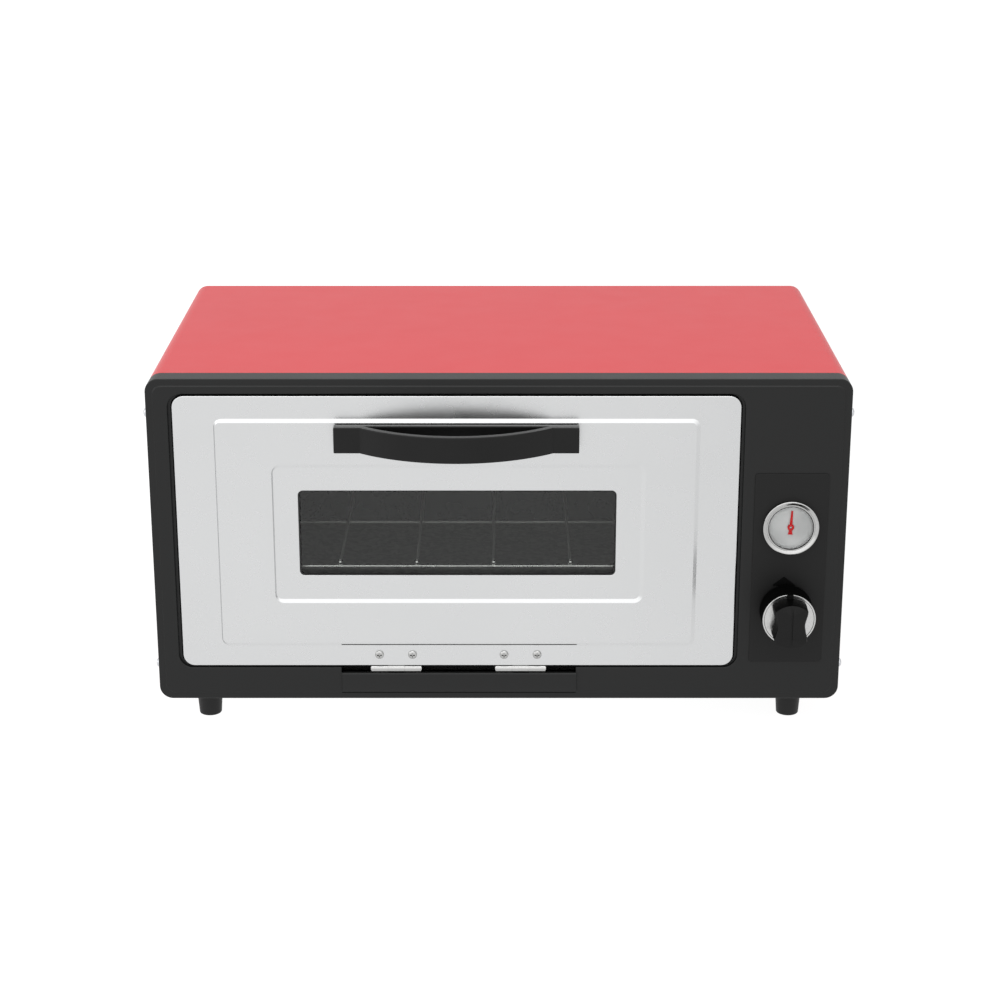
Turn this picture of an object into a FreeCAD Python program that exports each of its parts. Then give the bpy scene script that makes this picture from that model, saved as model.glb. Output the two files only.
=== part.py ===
"""Countertop pizza oven: a gas-fired steel box oven with a drop-down window door.

Units are millimetres. X runs left to right seen from the front, +Z is up, and +Y runs
from the front to the back. While a piece is drawn, Y = 0 is the face of the front
frame. Each piece is moved by FACE_Y when it is written, which puts the origin under
the middle of the whole oven, on the table.
"""
import FreeCAD, Part
import math
import os

V = FreeCAD.Vector

# ---------------------------------------------------------------- driving dimensions
BODY_W = 620.0
BODY_D = 358.7
FOOT_H = 28.0
BODY_TOP = 331.0
HALF_W = BODY_W / 2

# Front frame: a black pressed surround with a flange all round.
FRAME_T = 1.2
FRAME_FLANGE = 21.2
FRAME_R = 12.0
FRAME_BORDER = 6.0
FRAME_STEP = 0.8

# Red wrapper: top and both sides in one sheet.
WRAP_T = 1.0
WRAP_Y = 21.4
WRAP_R = FRAME_R
WRAP_LIP = 22.0

# Door, and the formed band that stands out of its skin.
DOOR_X0, DOOR_X1 = -286.9, 212.7
DOOR_Z0, DOOR_Z1 = 61.0, 315.7
DOOR_R = 10.5
DOOR_D = 15.0
SKIN_T = 1.0
DOOR_GAP_X = 3.8
DOOR_GAP_Z = 1.9
BAND = (-251.0, 177.3, 80.5, 295.1)
BAND_R = 14.0
BAND_RISE = 1.6
BAND_SLOPE = 3.4
RECESS = (-200.1, 126.4, 125.9, 250.0)
RECESS_R = 8.0
WINDOW = (-178.5, 104.5, 148.6, 228.7)
WINDOW_R = 4.5
GLASS_MARGIN = 8.4
GLASS_T = 4.0
GASKET_T = 1.0
INNER_T = 0.8

# Hinges: two butt hinges in a notch below the door.
HINGE_Y, HINGE_Z = 2.0, 57.4
HINGE_R = 3.3
HINGE_PIN_R = 1.8
HINGE_LEN = 45.0
HINGE_PLAY = 0.15
HINGE_X = {"left": -93.5, "right": 19.7}
HINGE_SCREW_DX = 15.0
HINGE_SCREW_Z = 71.8
LEAF_T = 1.5
NOTCH = (-143.5, 70.2)
NOTCH_Z = 54.0
STRIP_X = (-142.8, 70.6)
STRIP_T = 1.2
STRIP_LEAN = 2.6
STRIP_BOTTOM = 33.7
STRIP_FOLD_Z = 45.2
STRIP_SCREW_Z = 44.0

# Handle: end blocks, a back strip and a bowed bar with a finger gap behind it.
HANDLE_X = -37.15
HANDLE_W = 215.0
HANDLE_Z0, HANDLE_Z1 = 268.0, 291.4
HANDLE_SCREW_Z = (HANDLE_Z0 + HANDLE_Z1) / 2
HANDLE_END_W = 23.0
HANDLE_END_Y = -16.0
HANDLE_STRIP_Y = -11.0
HANDLE_REACH = 46.5
HANDLE_BAR = 7.0

# Control column.
CONTROL_X = 260.0
CONTROL_PLATE = (227.0, 293.0, 64.8, 244.6)
CONTROL_PLATE_T = 1.0
GAUGE_Z = 195.0
GAUGE_R = 25.0
GAUGE_CASE_R = 21.5
KNOB_X, KNOB_Z = 258.3, 117.8
KNOB_R = 23.75
KNOB_REAR = -5.2
KNOB_FACE = -29.2
KNOB_DISC_T = 1.5
KNOB_FRONT = -50.3
GRIP_R = 20.0
MARK = ((246.3, 139.0), (265.9, 139.0), (265.9, 140.2), (256.1, 147.8), (246.3, 140.2))
MARK_T = 0.4
NEEDLE_LEAN = 2.5
SPINDLE_R = 3.0
COLLAR_Y = 3.0
SPRING_SEAT = 12.0
VALVE_FRONT, VALVE_BACK = 18.5, 58.0

# Oven cavity.
CAVITY = (-251.5, 172.5, 74.8, 302.0)
CAVITY_X = (CAVITY[0] + CAVITY[1]) / 2
CAVITY_T = 0.8
CAVITY_R = 2.0
MOUTH_Y = 16.0
MOUTH_T = 1.0
CAVITY_BACK = 292.0
DEFLECTOR_Z = 97.5

# Wire rack.
RACK_Z = 150.0
RACK_HALF = 207.0
RACK_FRONT = 20.5
RACK_BACK = 270.0
RACK_ROD_R = 2.0
WIRE_R = 1.25
WIRE_PITCH = 69.4
WIRE_COUNT = 6
WIRE_TIP = 3.5
CROSS_WIRE_Y = 140.0

# Burner, gas line and sensor bulb.
BURNER_Y, BURNER_Z = 150.0, 86.0
BURNER_R = 9.0
BURNER_MOUTH_X = 191.0
BULB_Y, BULB_Z = 284.0, 290.0
BULB_END_X = 150.0
INLET_X, INLET_Z = 245.0, 75.0
INLET_THREAD_R = 6.58
INLET_REACH = 18.0

# Feet and screws.
FOOT_X = 269.0
FOOT_Y = (35.0, 325.0)
FOOT_TOP_R, FOOT_BOTTOM_R = 12.3, 10.2
SIDE_SCREW_Y = 9.0
SIDE_SCREW_Z = (60.5, 298.5)
SIDE_SCREW_HEAD = 3.0

FACE_Y = -(BODY_D + INLET_REACH + KNOB_FRONT) / 2

# ---------------------------------------------------------------- drawing helpers


def box(x0, x1, y0, y1, z0, z1):
    """A block between two corners."""
    return Part.makeBox(x1 - x0, y1 - y0, z1 - z0, V(x0, y0, z0))


def rod(radius, start, end):
    """A round bar from one point to another."""
    along = V(*end) - V(*start)
    return Part.makeCylinder(radius, along.Length, V(*start), along)


def rod_y(radius, x, z, y0, y1):
    """A round bar along Y."""
    return rod(radius, (x, y0, z), (x, y1, z))


def rod_z(radius, x, y, z0, z1):
    """A round bar along Z."""
    return rod(radius, (x, y, z0), (x, y, z1))


def fuse(shapes):
    """All the shapes as one solid, with the seams between flush faces removed."""
    shapes = list(shapes)
    return shapes[0].multiFuse(shapes[1:]).removeSplitter()


def cut(shape, tools):
    """The shape with every tool taken out of it."""
    return shape.cut(Part.makeCompound(list(tools)))


def group(shapes):
    """Separate solids kept in one node."""
    return Part.makeCompound(list(shapes))


def inset(rect, margin):
    """A rectangle (x0, x1, z0, z1) made smaller by margin on every side."""
    return (rect[0] + margin, rect[1] - margin, rect[2] + margin, rect[3] - margin)


def rect_wire(rect, y, r):
    """A rounded rectangle standing in the plane Y = y."""
    x0, x1, z0, z1 = rect
    arcs = []
    for x, z, start in ((x1, z0, -90), (x1, z1, 0), (x0, z1, 90), (x0, z0, 180)):
        cx = x - r if x == x1 else x + r
        cz = z - r if z == z1 else z + r
        ends = [math.radians(start + turn) for turn in (0, 45, 90)]
        arcs.append([V(cx + r * math.cos(a), y, cz + r * math.sin(a)) for a in ends])
    edges = []
    for i, points in enumerate(arcs):
        edges.append(Part.Arc(*points).toShape())
        edges.append(Part.makeLine(points[2], arcs[(i + 1) % 4][0]))
    return Part.Wire(edges)


def slab(rect, y0, y1, r):
    """A rounded rectangular plate between two depths."""
    face = Part.Face(rect_wire(rect, y0, r))
    return face.extrude(V(0, y1 - y0, 0))


def tray(rect_back, y_back, rect_front, y_front, r_back, r_front):
    """A rounded rectangular block with sloping sides."""
    wires = [rect_wire(rect_back, y_back, r_back), rect_wire(rect_front, y_front, r_front)]
    return Part.makeLoft(wires, True, True)


def turned(profile, x, z):
    """A solid of revolution about the Y line through (x, z), from (radius, y) points."""
    points = [V(x + radius, y, z) for radius, y in profile]
    face = Part.Face(Part.makePolygon(points + [points[0]]))
    return face.revolve(V(x, 0, z), V(0, 1, 0), 360)


def hexagon(radius, centre, direction, length):
    """A hexagonal bar, such as a nut, starting at centre."""
    along = V(*direction)
    side = V(0, 0, 1) if abs(along.z) < 0.5 else V(1, 0, 0)
    other = along.cross(side)
    angles = [math.radians(60 * k) for k in range(7)]
    points = [V(*centre) + side * (radius * math.cos(a)) + other * (radius * math.sin(a)) for a in angles]
    return Part.Face(Part.makePolygon(points)).extrude(along * length)


def bent_wire(points, bend_r, closed=False):
    """A path of straight runs joined by arcs of one radius."""
    pts = [V(*p) for p in points]
    count = len(pts)
    corners = range(count) if closed else range(1, count - 1)
    arcs = {}
    for i in corners:
        before = (pts[i - 1] - pts[i]).normalize()
        after = (pts[(i + 1) % count] - pts[i]).normalize()
        half = before.getAngle(after) / 2
        middle = (before + after).normalize()
        centre = pts[i] + middle * (bend_r / math.sin(half))
        back = bend_r / math.tan(half)
        arcs[i] = (pts[i] + before * back, centre - middle * bend_r, pts[i] + after * back)
    edges = []
    spans = count if closed else count - 1
    for i in range(spans):
        j = (i + 1) % count
        start = arcs[i][2] if i in arcs else pts[i]
        end = arcs[j][0] if j in arcs else pts[j]
        edges.append(Part.makeLine(start, end))
        if j in arcs:
            edges.append(Part.Arc(*arcs[j]).toShape())
    return Part.Wire(edges)


def bent_rod(points, bend_r, radius, closed=False):
    """A round bar bent along a path."""
    path = bent_wire(points, bend_r, closed)
    start = path.Edges[0].valueAt(path.Edges[0].FirstParameter)
    tangent = path.Edges[0].tangentAt(path.Edges[0].FirstParameter)
    section = Part.Wire(Part.makeCircle(radius, start, tangent))
    return path.makePipeShell([section], True, True)


def pan_screw(head_r, head_h, shank_r, shank_len):
    """A cross-head pan screw at the origin: head towards -Y, shank towards +Y."""
    outline = ((0, 0), (head_r, 0), (head_r, -0.4 * head_h), (0.72 * head_r, -head_h), (0, -head_h))
    head = turned(outline, 0, 0)
    arm = 0.55 * head_r
    slots = []
    for turn in (0, 90):
        slot = box(-arm, arm, -head_h - 1, -0.45 * head_h, -0.11 * head_r, 0.11 * head_r)
        slot.rotate(V(0, 0, 0), V(0, 1, 0), turn)
        slots.append(slot)
    return fuse([cut(head, slots), rod_y(shank_r, 0, 0, 0, shank_len)])


def placed(shape, x, y, z, about_z=0.0):
    """A copy turned about Z, then moved."""
    copy = shape.copy()
    copy.rotate(V(0, 0, 0), V(0, 0, 1), about_z)
    copy.translate(V(x, y, z))
    return copy


# ---------------------------------------------------------------- cabinet


def outer_wrapper():
    """Red sheet folded over the top and down both sides, tucked under the frame's flange."""
    outline = (-HALF_W, HALF_W, FOOT_H, BODY_TOP)
    tuck = inset(outline, FRAME_T + 0.1)
    tuck_r = FRAME_R - FRAME_T
    low = FOOT_H + 12.0
    joggle_y = WRAP_Y + 1.2
    rear = BODY_D - 2.1
    below = box(-HALF_W - 1, HALF_W + 1, 0, WRAP_Y + 1.3, 0, low)

    room = slab(inset(outline, WRAP_T), 0, BODY_D + 1, WRAP_R - WRAP_T)
    shell = slab(outline, WRAP_Y, BODY_D, WRAP_R).cut(room)
    open_floor = box(-HALF_W + WRAP_LIP, HALF_W - WRAP_LIP, 0, BODY_D + 1, 0, FOOT_H + WRAP_T + 0.5)
    within = slab(inset(tuck, WRAP_T), 0, BODY_D, tuck_r - WRAP_T)
    tongue = slab(tuck, 4.0, joggle_y, tuck_r).cut(within)
    joggle = slab(outline, WRAP_Y, joggle_y, WRAP_R).cut(within)
    rear_lip = slab(outline, rear, rear + WRAP_T, WRAP_R).cut(slab(inset(outline, 12.0), 0, BODY_D, 4.0))

    sheet = fuse([shell.cut(open_floor), tongue.cut(below), joggle.cut(below), rear_lip])
    holes = [rod(2.1, (-HALF_W - 5, SIDE_SCREW_Y, z), (HALF_W + 5, SIDE_SCREW_Y, z)) for z in SIDE_SCREW_Z]
    holes += [rod_y(1.6, x, z, rear - 1, rear + 2) for x, z in back_screw_places()]
    return cut(sheet, holes)


def front_frame():
    """Black pressed surround with the door opening, its return and the hinge notch."""
    outline = (-HALF_W, HALF_W, FOOT_H, BODY_TOP)
    face = inset(outline, FRAME_BORDER + FRAME_STEP)
    foot = inset(outline, FRAME_BORDER)
    block = fuse([
        slab(outline, FRAME_STEP, FRAME_FLANGE, FRAME_R),
        tray(foot, FRAME_STEP, face, 0.0, FRAME_R - 4, FRAME_R - 4.5),
    ])
    hollow = block.copy()
    hollow.translate(V(0, FRAME_T, 0))
    hollow = hollow.common(slab(inset(outline, FRAME_T), -5, 60, FRAME_R - FRAME_T))

    opening = (DOOR_X0 - DOOR_GAP_X, DOOR_X1 + DOOR_GAP_X, DOOR_Z0 - DOOR_GAP_Z, DOOR_Z1 + DOOR_GAP_Z)
    opening_r = DOOR_R + 2
    hole = slab(opening, -5, 60, opening_r)
    collar = slab(inset(opening, -FRAME_T), 0.0, MOUTH_Y, opening_r + FRAME_T)
    pressed = fuse([block.cut(hollow), collar]).cut(hole)

    tools = [
        box(NOTCH[0], NOTCH[1], -5, MOUTH_Y + 1, NOTCH_Z, DOOR_Z0 + 2),
        rod_y(GAUGE_CASE_R + 0.6, CONTROL_X, GAUGE_Z, -5, 10),
        rod_y(10.0, KNOB_X, KNOB_Z, -5, 10),
    ]
    tools += [rod(2.1, (-HALF_W - 5, SIDE_SCREW_Y, z), (HALF_W + 5, SIDE_SCREW_Y, z)) for z in SIDE_SCREW_Z]
    tools += [rod_y(1.6, x, STRIP_SCREW_Z, -5, 5) for x in hinge_screw_x()]
    return cut(pressed, tools)


def base_panel():
    """Floor sheet on the wrapper's lips, with air slots below the burner."""
    z = FOOT_H + WRAP_T
    half = HALF_W - WRAP_R - 0.2
    sheet = box(-half, half, 23.5, 355.5, z, z + 1.0)
    lips = [box(-half, half, y, y + 1.0, z, z + 12.0) for y in (23.5, 354.5)]
    tools = [rod_z(2.6, x, y, 0, 60) for x, y in foot_places()]
    tools += [rod_y(1.6, x, z, 350, 360) for x, z in back_screw_places()]
    for row_y in (90.0, 150.0, 210.0):
        for k in range(9):
            x = CAVITY_X + (k - 4) * 44.0
            tools.append(box(x - 15, x + 15, row_y - 2.5, row_y + 2.5, z - 1, z + 2))
    return cut(fuse([sheet] + lips), tools)


def back_screw_places():
    """Eight screws round the back panel."""
    xs = (-HALF_W + 7.0, 0.0, HALF_W - 7.0)
    low, high = FOOT_H + 7.0, BODY_TOP - 7.0
    places = [(x, z) for x in xs for z in (low, high)]
    return places + [(x, (low + high) / 2) for x in (xs[0], xs[2])]


def back_panel():
    """Rear sheet with flue slots above, cooling slots beside the controls, and the gas hole."""
    outline = inset((-HALF_W, HALF_W, FOOT_H, BODY_TOP), WRAP_T + 0.2)
    y0, y1 = BODY_D - 1.0, BODY_D
    tools = [rod_y(1.6, x, z, y0 - 1, y1 + 1) for x, z in back_screw_places()]
    tools.append(rod_y(INLET_THREAD_R + 0.1, INLET_X, INLET_Z, y0 - 1, y1 + 1))
    for k in range(17):
        x = CAVITY_X + (k - 8) * 22.0
        tools.append(slab((x - 3, x + 3, 262.0, 304.0), y0 - 1, y1 + 1, 2.9))
    for k in range(5):
        z = 130.0 + k * 18.0
        tools.append(slab((CONTROL_X - 34, CONTROL_X + 26, z - 3, z + 3), y0 - 1, y1 + 1, 2.9))
    return cut(slab(outline, y0, y1, WRAP_R - WRAP_T - 0.2), tools)


def back_panel_screws():
    """Pan screws that hold the back panel to the wrapper's rear lip."""
    screw = pan_screw(3.5, 2.2, 1.5, 7.0)
    screws = [placed(screw, x, 0, z, 180) for x, z in back_screw_places()]
    for piece in screws:
        piece.translate(V(0, BODY_D, 0))
    return group(screws)


def side_screws():
    """Four screws through the frame's flange, two on each side."""
    screw = pan_screw(4.0, SIDE_SCREW_HEAD, 2.0, 6.0)
    screws = []
    for z in SIDE_SCREW_Z:
        screws.append(placed(screw, HALF_W, SIDE_SCREW_Y, z, 90))
        screws.append(placed(screw, -HALF_W, SIDE_SCREW_Y, z, -90))
    return group(screws)


def foot_places():
    """Centre of each foot, seen from above."""
    return [(x, y) for y in FOOT_Y for x in (-FOOT_X, FOOT_X)]


def foot(x, y):
    """A tapered foot with a recess for its screw."""
    top = FOOT_H + WRAP_T
    body = Part.makeCone(FOOT_BOTTOM_R, FOOT_TOP_R, top, V(x, y, 0), V(0, 0, 1))
    return cut(body, [rod_z(5.5, x, y, -1, 8), rod_z(2.6, x, y, 0, 60)])


def foot_screws():
    """A screw and a nut for each foot."""
    panel_top = FOOT_H + WRAP_T + 1.0
    pieces = []
    for x, y in foot_places():
        pieces.append(fuse([rod_z(4.5, x, y, 4.6, 8.0), rod_z(2.5, x, y, 8.0, panel_top + 6)]))
        nut = hexagon(4.6, (x, y, panel_top), (0, 0, 1), 4.0)
        pieces.append(nut.cut(rod_z(2.52, x, y, 0, 60)))
    return group(pieces)


# ---------------------------------------------------------------- door


def door_outer_panel():
    """Stainless skin with the formed band, window, edge return and hinge slots."""
    outline = (DOOR_X0, DOOR_X1, DOOR_Z0, DOOR_Z1)
    band_top = inset(BAND, BAND_SLOPE)
    recess_top = inset(RECESS, -BAND_SLOPE)
    raised = tray(BAND, 0.0, band_top, -BAND_RISE, BAND_R, BAND_R - 2)
    dip = tray(RECESS, 0.0, recess_top, -BAND_RISE, RECESS_R, RECESS_R + 2)
    block = fuse([slab(outline, 0.0, 8.0, DOOR_R), raised.cut(dip)])
    behind = block.copy()
    behind.translate(V(0, SKIN_T, 0))
    edge = slab(outline, 0.0, DOOR_D, DOOR_R).cut(slab(inset(outline, SKIN_T), -1, DOOR_D + 1, DOOR_R - 1))
    skin = fuse([block.cut(behind), edge])

    tools = [slab(WINDOW, -5, 5, WINDOW_R)]
    tools += [rod_y(2.1, x, HINGE_SCREW_Z, -5, 5) for x in hinge_screw_x()]
    tools += [rod_y(2.1, x, HANDLE_SCREW_Z, -6, 2) for x in handle_screw_x()]
    half = HINGE_LEN / 2 + 0.5
    for x in HINGE_X.values():
        tools.append(box(x - half, x + half, SKIN_T, SKIN_T + 2.4, DOOR_Z0 - 1, DOOR_Z0 + 2))
    return cut(skin, tools)


def door_inner_panel():
    """Pan that closes the door from behind, with a rim round the window."""
    outline = inset((DOOR_X0, DOOR_X1, DOOR_Z0, DOOR_Z1), SKIN_T + 0.1)
    window = inset(WINDOW, -6.0)
    y0, y1 = DOOR_D - 8.0, DOOR_D
    room = slab(inset(outline, INNER_T), y0 - 1, y1 - INNER_T, DOOR_R - 2)
    pan = slab(outline, y0, y1, DOOR_R - 1).cut(room)
    rim = slab(inset(window, -INNER_T), y0, y1, WINDOW_R + 2 + INNER_T)
    return fuse([pan, rim]).cut(slab(window, -5, 30, WINDOW_R + 2))


def glass_rect():
    """Outline of the window glass."""
    return inset(WINDOW, -GLASS_MARGIN)


def window_gasket():
    """Flat black gasket between the skin and the glass."""
    ring = slab(glass_rect(), SKIN_T, SKIN_T + GASKET_T, 5.0)
    return ring.cut(slab(inset(WINDOW, 1.2), -5, 5, WINDOW_R - 1))


def window_glass():
    """Tempered glass pane."""
    y0 = SKIN_T + GASKET_T
    return slab(glass_rect(), y0, y0 + GLASS_T, 5.0)


def glass_retainers():
    """Folded clips above and below the glass, welded to the skin."""
    x0, x1, z0, z1 = glass_rect()
    y_back = SKIN_T + GASKET_T + GLASS_T
    reach, riser, ear = 5.0, 1.0, 10.0
    clips = []
    for edge, side in ((z1, 1), (z0, -1)):
        def span(near, far, y0, y1):
            low, high = sorted((edge + side * near, edge + side * far))
            return box(x0 + 10, x1 - 10, y0, y1, low, high)
        clips.append(fuse([
            span(-reach, riser + INNER_T, y_back, y_back + INNER_T),
            span(riser, riser + INNER_T, SKIN_T, y_back + INNER_T),
            span(riser, riser + ear, SKIN_T, SKIN_T + INNER_T),
        ]))
    return group(clips)


def hinge_screw_x():
    """Screw positions along both hinges."""
    return [x + side * HINGE_SCREW_DX for x in HINGE_X.values() for side in (-1, 1)]


def door_hinge_screws():
    """Four pan screws through the skin and the hinge leaves, each with a nut."""
    screw = pan_screw(4.0, 2.4, 1.95, 6.8)
    nut_y = SKIN_T + 0.05 + LEAF_T + 0.05
    pieces = []
    for x in hinge_screw_x():
        pieces.append(placed(screw, x, 0, HINGE_SCREW_Z))
        nut = hexagon(3.6, (x, nut_y, HINGE_SCREW_Z), (0, 1, 0), 2.6)
        pieces.append(nut.cut(rod_y(2.0, x, HINGE_SCREW_Z, 0, 10)))
    return group(pieces)


def handle_screw_x():
    """Handle screw positions, one in the middle of each end block."""
    offset = (HANDLE_W - HANDLE_END_W) / 2
    return [HANDLE_X - offset, HANDLE_X + offset]


def door_handle():
    """Black moulded handle: two end blocks, a back strip and a bowed bar."""
    back = -BAND_RISE
    x0, x1 = HANDLE_X - HANDLE_W / 2, HANDLE_X + HANDLE_W / 2
    half = HANDLE_W / 2 - HANDLE_END_W
    rise = HANDLE_REACH + HANDLE_END_Y
    radius = (half ** 2 + rise ** 2) / (2 * rise)
    centre_y = radius - HANDLE_REACH

    strip = box(x0, x1, HANDLE_STRIP_Y, back, HANDLE_Z0, HANDLE_Z1)
    ends = []
    for a in (x0, x1 - HANDLE_END_W):
        ends.append(box(a, a + HANDLE_END_W, HANDLE_END_Y, back, HANDLE_Z0, HANDLE_Z1))
    ring = rod_z(radius, HANDLE_X, centre_y, HANDLE_Z0, HANDLE_Z1)
    ring = ring.cut(rod_z(radius - HANDLE_BAR, HANDLE_X, centre_y, HANDLE_Z0 - 1, HANDLE_Z1 + 1))
    bow = ring.common(box(x0, x1, -2 * HANDLE_REACH, HANDLE_STRIP_Y + 1, HANDLE_Z0, HANDLE_Z1))
    handle = fuse([strip, bow] + ends)
    flat_edges = [e for e in handle.Edges if abs(e.BoundBox.ZLength) < 1e-6 and e.BoundBox.YMin < back - 0.5]
    handle = handle.makeChamfer(0.8, flat_edges)
    return cut(handle, [rod_y(1.75, x, HANDLE_SCREW_Z, HANDLE_END_Y + 3, 0) for x in handle_screw_x()])


def handle_screws():
    """Two screws from inside the door into the handle's end blocks."""
    inner_face = SKIN_T - BAND_RISE
    screw = pan_screw(3.8, 2.2, 1.7, 9.5)
    screws = [placed(screw, x, 0, HANDLE_SCREW_Z, 180) for x in handle_screw_x()]
    for piece in screws:
        piece.translate(V(0, inner_face, 0))
    return group(screws)


# ---------------------------------------------------------------- hinges


def knuckle(centre_x, x0, x1, bore_r):
    """One round knuckle between two distances from the hinge's middle."""
    ends = [(centre_x + x, HINGE_Y, HINGE_Z) for x in (x0, x1)]
    return rod(HINGE_R, *ends), rod(bore_r, *ends)


def hinge_frame_leaf(x):
    """Leaf behind the frame's face, with the two outer knuckles."""
    half, inner = HINGE_LEN / 2, HINGE_LEN / 6
    y0 = FRAME_T + 0.05
    leaf = box(x - half, x + half, y0, y0 + LEAF_T, 36.0, HINGE_Z)
    spans = ((-half, -inner - HINGE_PLAY), (inner + HINGE_PLAY, half))
    barrels, bores = zip(*[knuckle(x, a, b, HINGE_PIN_R + 0.02) for a, b in spans])
    reach = inner + HINGE_PLAY
    gap = rod(HINGE_R + 0.3, (x - reach, HINGE_Y, HINGE_Z), (x + reach, HINGE_Y, HINGE_Z))
    holes = [rod_y(1.6, x + side * HINGE_SCREW_DX, STRIP_SCREW_Z, 0, 5) for side in (-1, 1)]
    return cut(fuse([leaf.cut(gap)] + list(barrels)), list(bores) + holes)


def hinge_door_leaf(x):
    """Leaf behind the door's skin, with the middle knuckle."""
    half, inner = HINGE_LEN / 2, HINGE_LEN / 6
    y0 = SKIN_T + 0.05
    leaf = box(x - half, x + half, y0, y0 + LEAF_T, HINGE_Z, HINGE_Z + 23.0)
    barrel, bore = knuckle(x, -inner, inner, HINGE_PIN_R + 0.05)
    gaps = []
    for a, b in ((-half - 1, -inner), (inner, half + 1)):
        gaps.append(rod(HINGE_R + 0.3, (x + a, HINGE_Y, HINGE_Z), (x + b, HINGE_Y, HINGE_Z)))
    holes = [rod_y(2.1, x + side * HINGE_SCREW_DX, HINGE_SCREW_Z, 0, 5) for side in (-1, 1)]
    return cut(fuse([cut(leaf, gaps), barrel]), [bore] + holes)


def hinge_pins():
    """Headed pin of each hinge."""
    pins = []
    for x in HINGE_X.values():
        half = HINGE_LEN / 2
        shaft = rod(HINGE_PIN_R, (x - half - 0.3, HINGE_Y, HINGE_Z), (x + half + 0.3, HINGE_Y, HINGE_Z))
        heads = []
        for side in (-1, 1):
            start = x + side * (half + 0.05)
            heads.append(rod(2.4, (start, HINGE_Y, HINGE_Z), (start + side * 0.5, HINGE_Y, HINGE_Z)))
        pins.append(fuse([shaft] + heads))
    return group(pins)


def hinge_strip():
    """Black cover strip on the frame below the notch, its lower half leaning out."""
    face, foot = -STRIP_T, -STRIP_LEAN
    profile = ((0, NOTCH_Z), (face, NOTCH_Z), (face, STRIP_FOLD_Z), (foot, STRIP_BOTTOM), (0, STRIP_BOTTOM))
    points = [V(STRIP_X[0], y, z) for y, z in profile]
    strip = Part.Face(Part.makePolygon(points + [points[0]])).extrude(V(STRIP_X[1] - STRIP_X[0], 0, 0))
    return cut(strip, [rod_y(1.55, x, STRIP_SCREW_Z, -0.8, 5) for x in hinge_screw_x()])


def hinge_strip_screws():
    """Four screws from inside through the leaves and the frame into the cover strip."""
    leaf_back = FRAME_T + 0.05 + LEAF_T
    screw = pan_screw(3.0, 2.0, 1.5, leaf_back + 0.6)
    screws = [placed(screw, x, 0, STRIP_SCREW_Z, 180) for x in hinge_screw_x()]
    for piece in screws:
        piece.translate(V(0, leaf_back, 0))
    return group(screws)


def magnet_catch():
    """Magnet block that holds the closed door by its inner panel."""
    x = (DOOR_X0 + DOOR_X1) / 2
    return box(x - 22, x + 22, DOOR_D + 0.2, DOOR_D + 12, 305.0, 314.0)


# ---------------------------------------------------------------- oven cavity


def cavity_liner():
    """Enamelled oven box with a wide flange round its mouth."""
    x0, x1, z0, z1 = CAVITY
    outside = inset(CAVITY, -CAVITY_T)
    shell = slab(outside, MOUTH_Y, CAVITY_BACK, CAVITY_R + CAVITY_T)
    flange = slab((-299.0, 225.0, 50.0, 326.0), MOUTH_Y, MOUTH_Y + MOUTH_T, 6.0)
    room = slab(CAVITY, MOUTH_Y - 1, CAVITY_BACK - CAVITY_T, CAVITY_R)
    catch_x = (DOOR_X0 + DOOR_X1) / 2
    tools = [
        room,
        box(catch_x - 22.2, catch_x + 22.2, MOUTH_Y - 1, MOUTH_Y + 2, 304.8, 314.2),
        rod(BURNER_R + 0.5, (x1 - 2, BURNER_Y, BURNER_Z), (x1 + 5, BURNER_Y, BURNER_Z)),
        rod(2.0, (x1 - 2, BULB_Y, BULB_Z), (x1 + 5, BULB_Y, BULB_Z)),
    ]
    return cut(fuse([shell, flange]), tools)


def flame_deflector():
    """Steel floor plate over the burner, on two side legs."""
    x0, x1 = CAVITY[0] + 2.5, CAVITY[1] - 2.5
    y0, y1 = 24.0, 286.0
    top = box(x0, x1, y0, y1, DEFLECTOR_Z, DEFLECTOR_Z + FRAME_T)
    legs = [box(a, a + FRAME_T, y0, y1, CAVITY[2], DEFLECTOR_Z) for a in (x0, x1 - FRAME_T)]
    tools = [rod(BURNER_R + 0.6, (x1 - 5, BURNER_Y, BURNER_Z), (x1 + 5, BURNER_Y, BURNER_Z))]
    for k in range(7):
        y = y0 + 35.0 + k * 32.0
        for x in (x0 + 8, x1 - 20):
            tools.append(box(x, x + 12, y - 10, y + 10, DEFLECTOR_Z - 1, DEFLECTOR_Z + 3))
    return cut(fuse([top] + legs), tools)


def rack_runner(side):
    """Channel on one side wall that carries the rack."""
    wall = CAVITY[0] if side < 0 else CAVITY[1]
    t = CAVITY_T
    low = RACK_Z - RACK_ROD_R - 0.05
    high = RACK_Z + RACK_ROD_R + 1.0

    def strip(reach, z0, z1):
        x0, x1 = sorted((wall, wall - side * reach))
        return box(x0, x1, 20.0, 284.0, z0, z1)

    return fuse([strip(t, low - t, high + t), strip(9.5, low - t, low), strip(7.0, high, high + t)])


def rack_frame():
    """Outer loop of the wire rack."""
    x0, x1 = CAVITY_X - RACK_HALF, CAVITY_X + RACK_HALF
    middle = CAVITY_X
    points = (
        (middle, RACK_FRONT, RACK_Z), (x1, RACK_FRONT, RACK_Z), (x1, RACK_BACK, RACK_Z),
        (x0, RACK_BACK, RACK_Z), (x0, RACK_FRONT, RACK_Z), (middle, RACK_FRONT, RACK_Z),
    )
    return bent_rod(points, 14.0, RACK_ROD_R)


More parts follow.
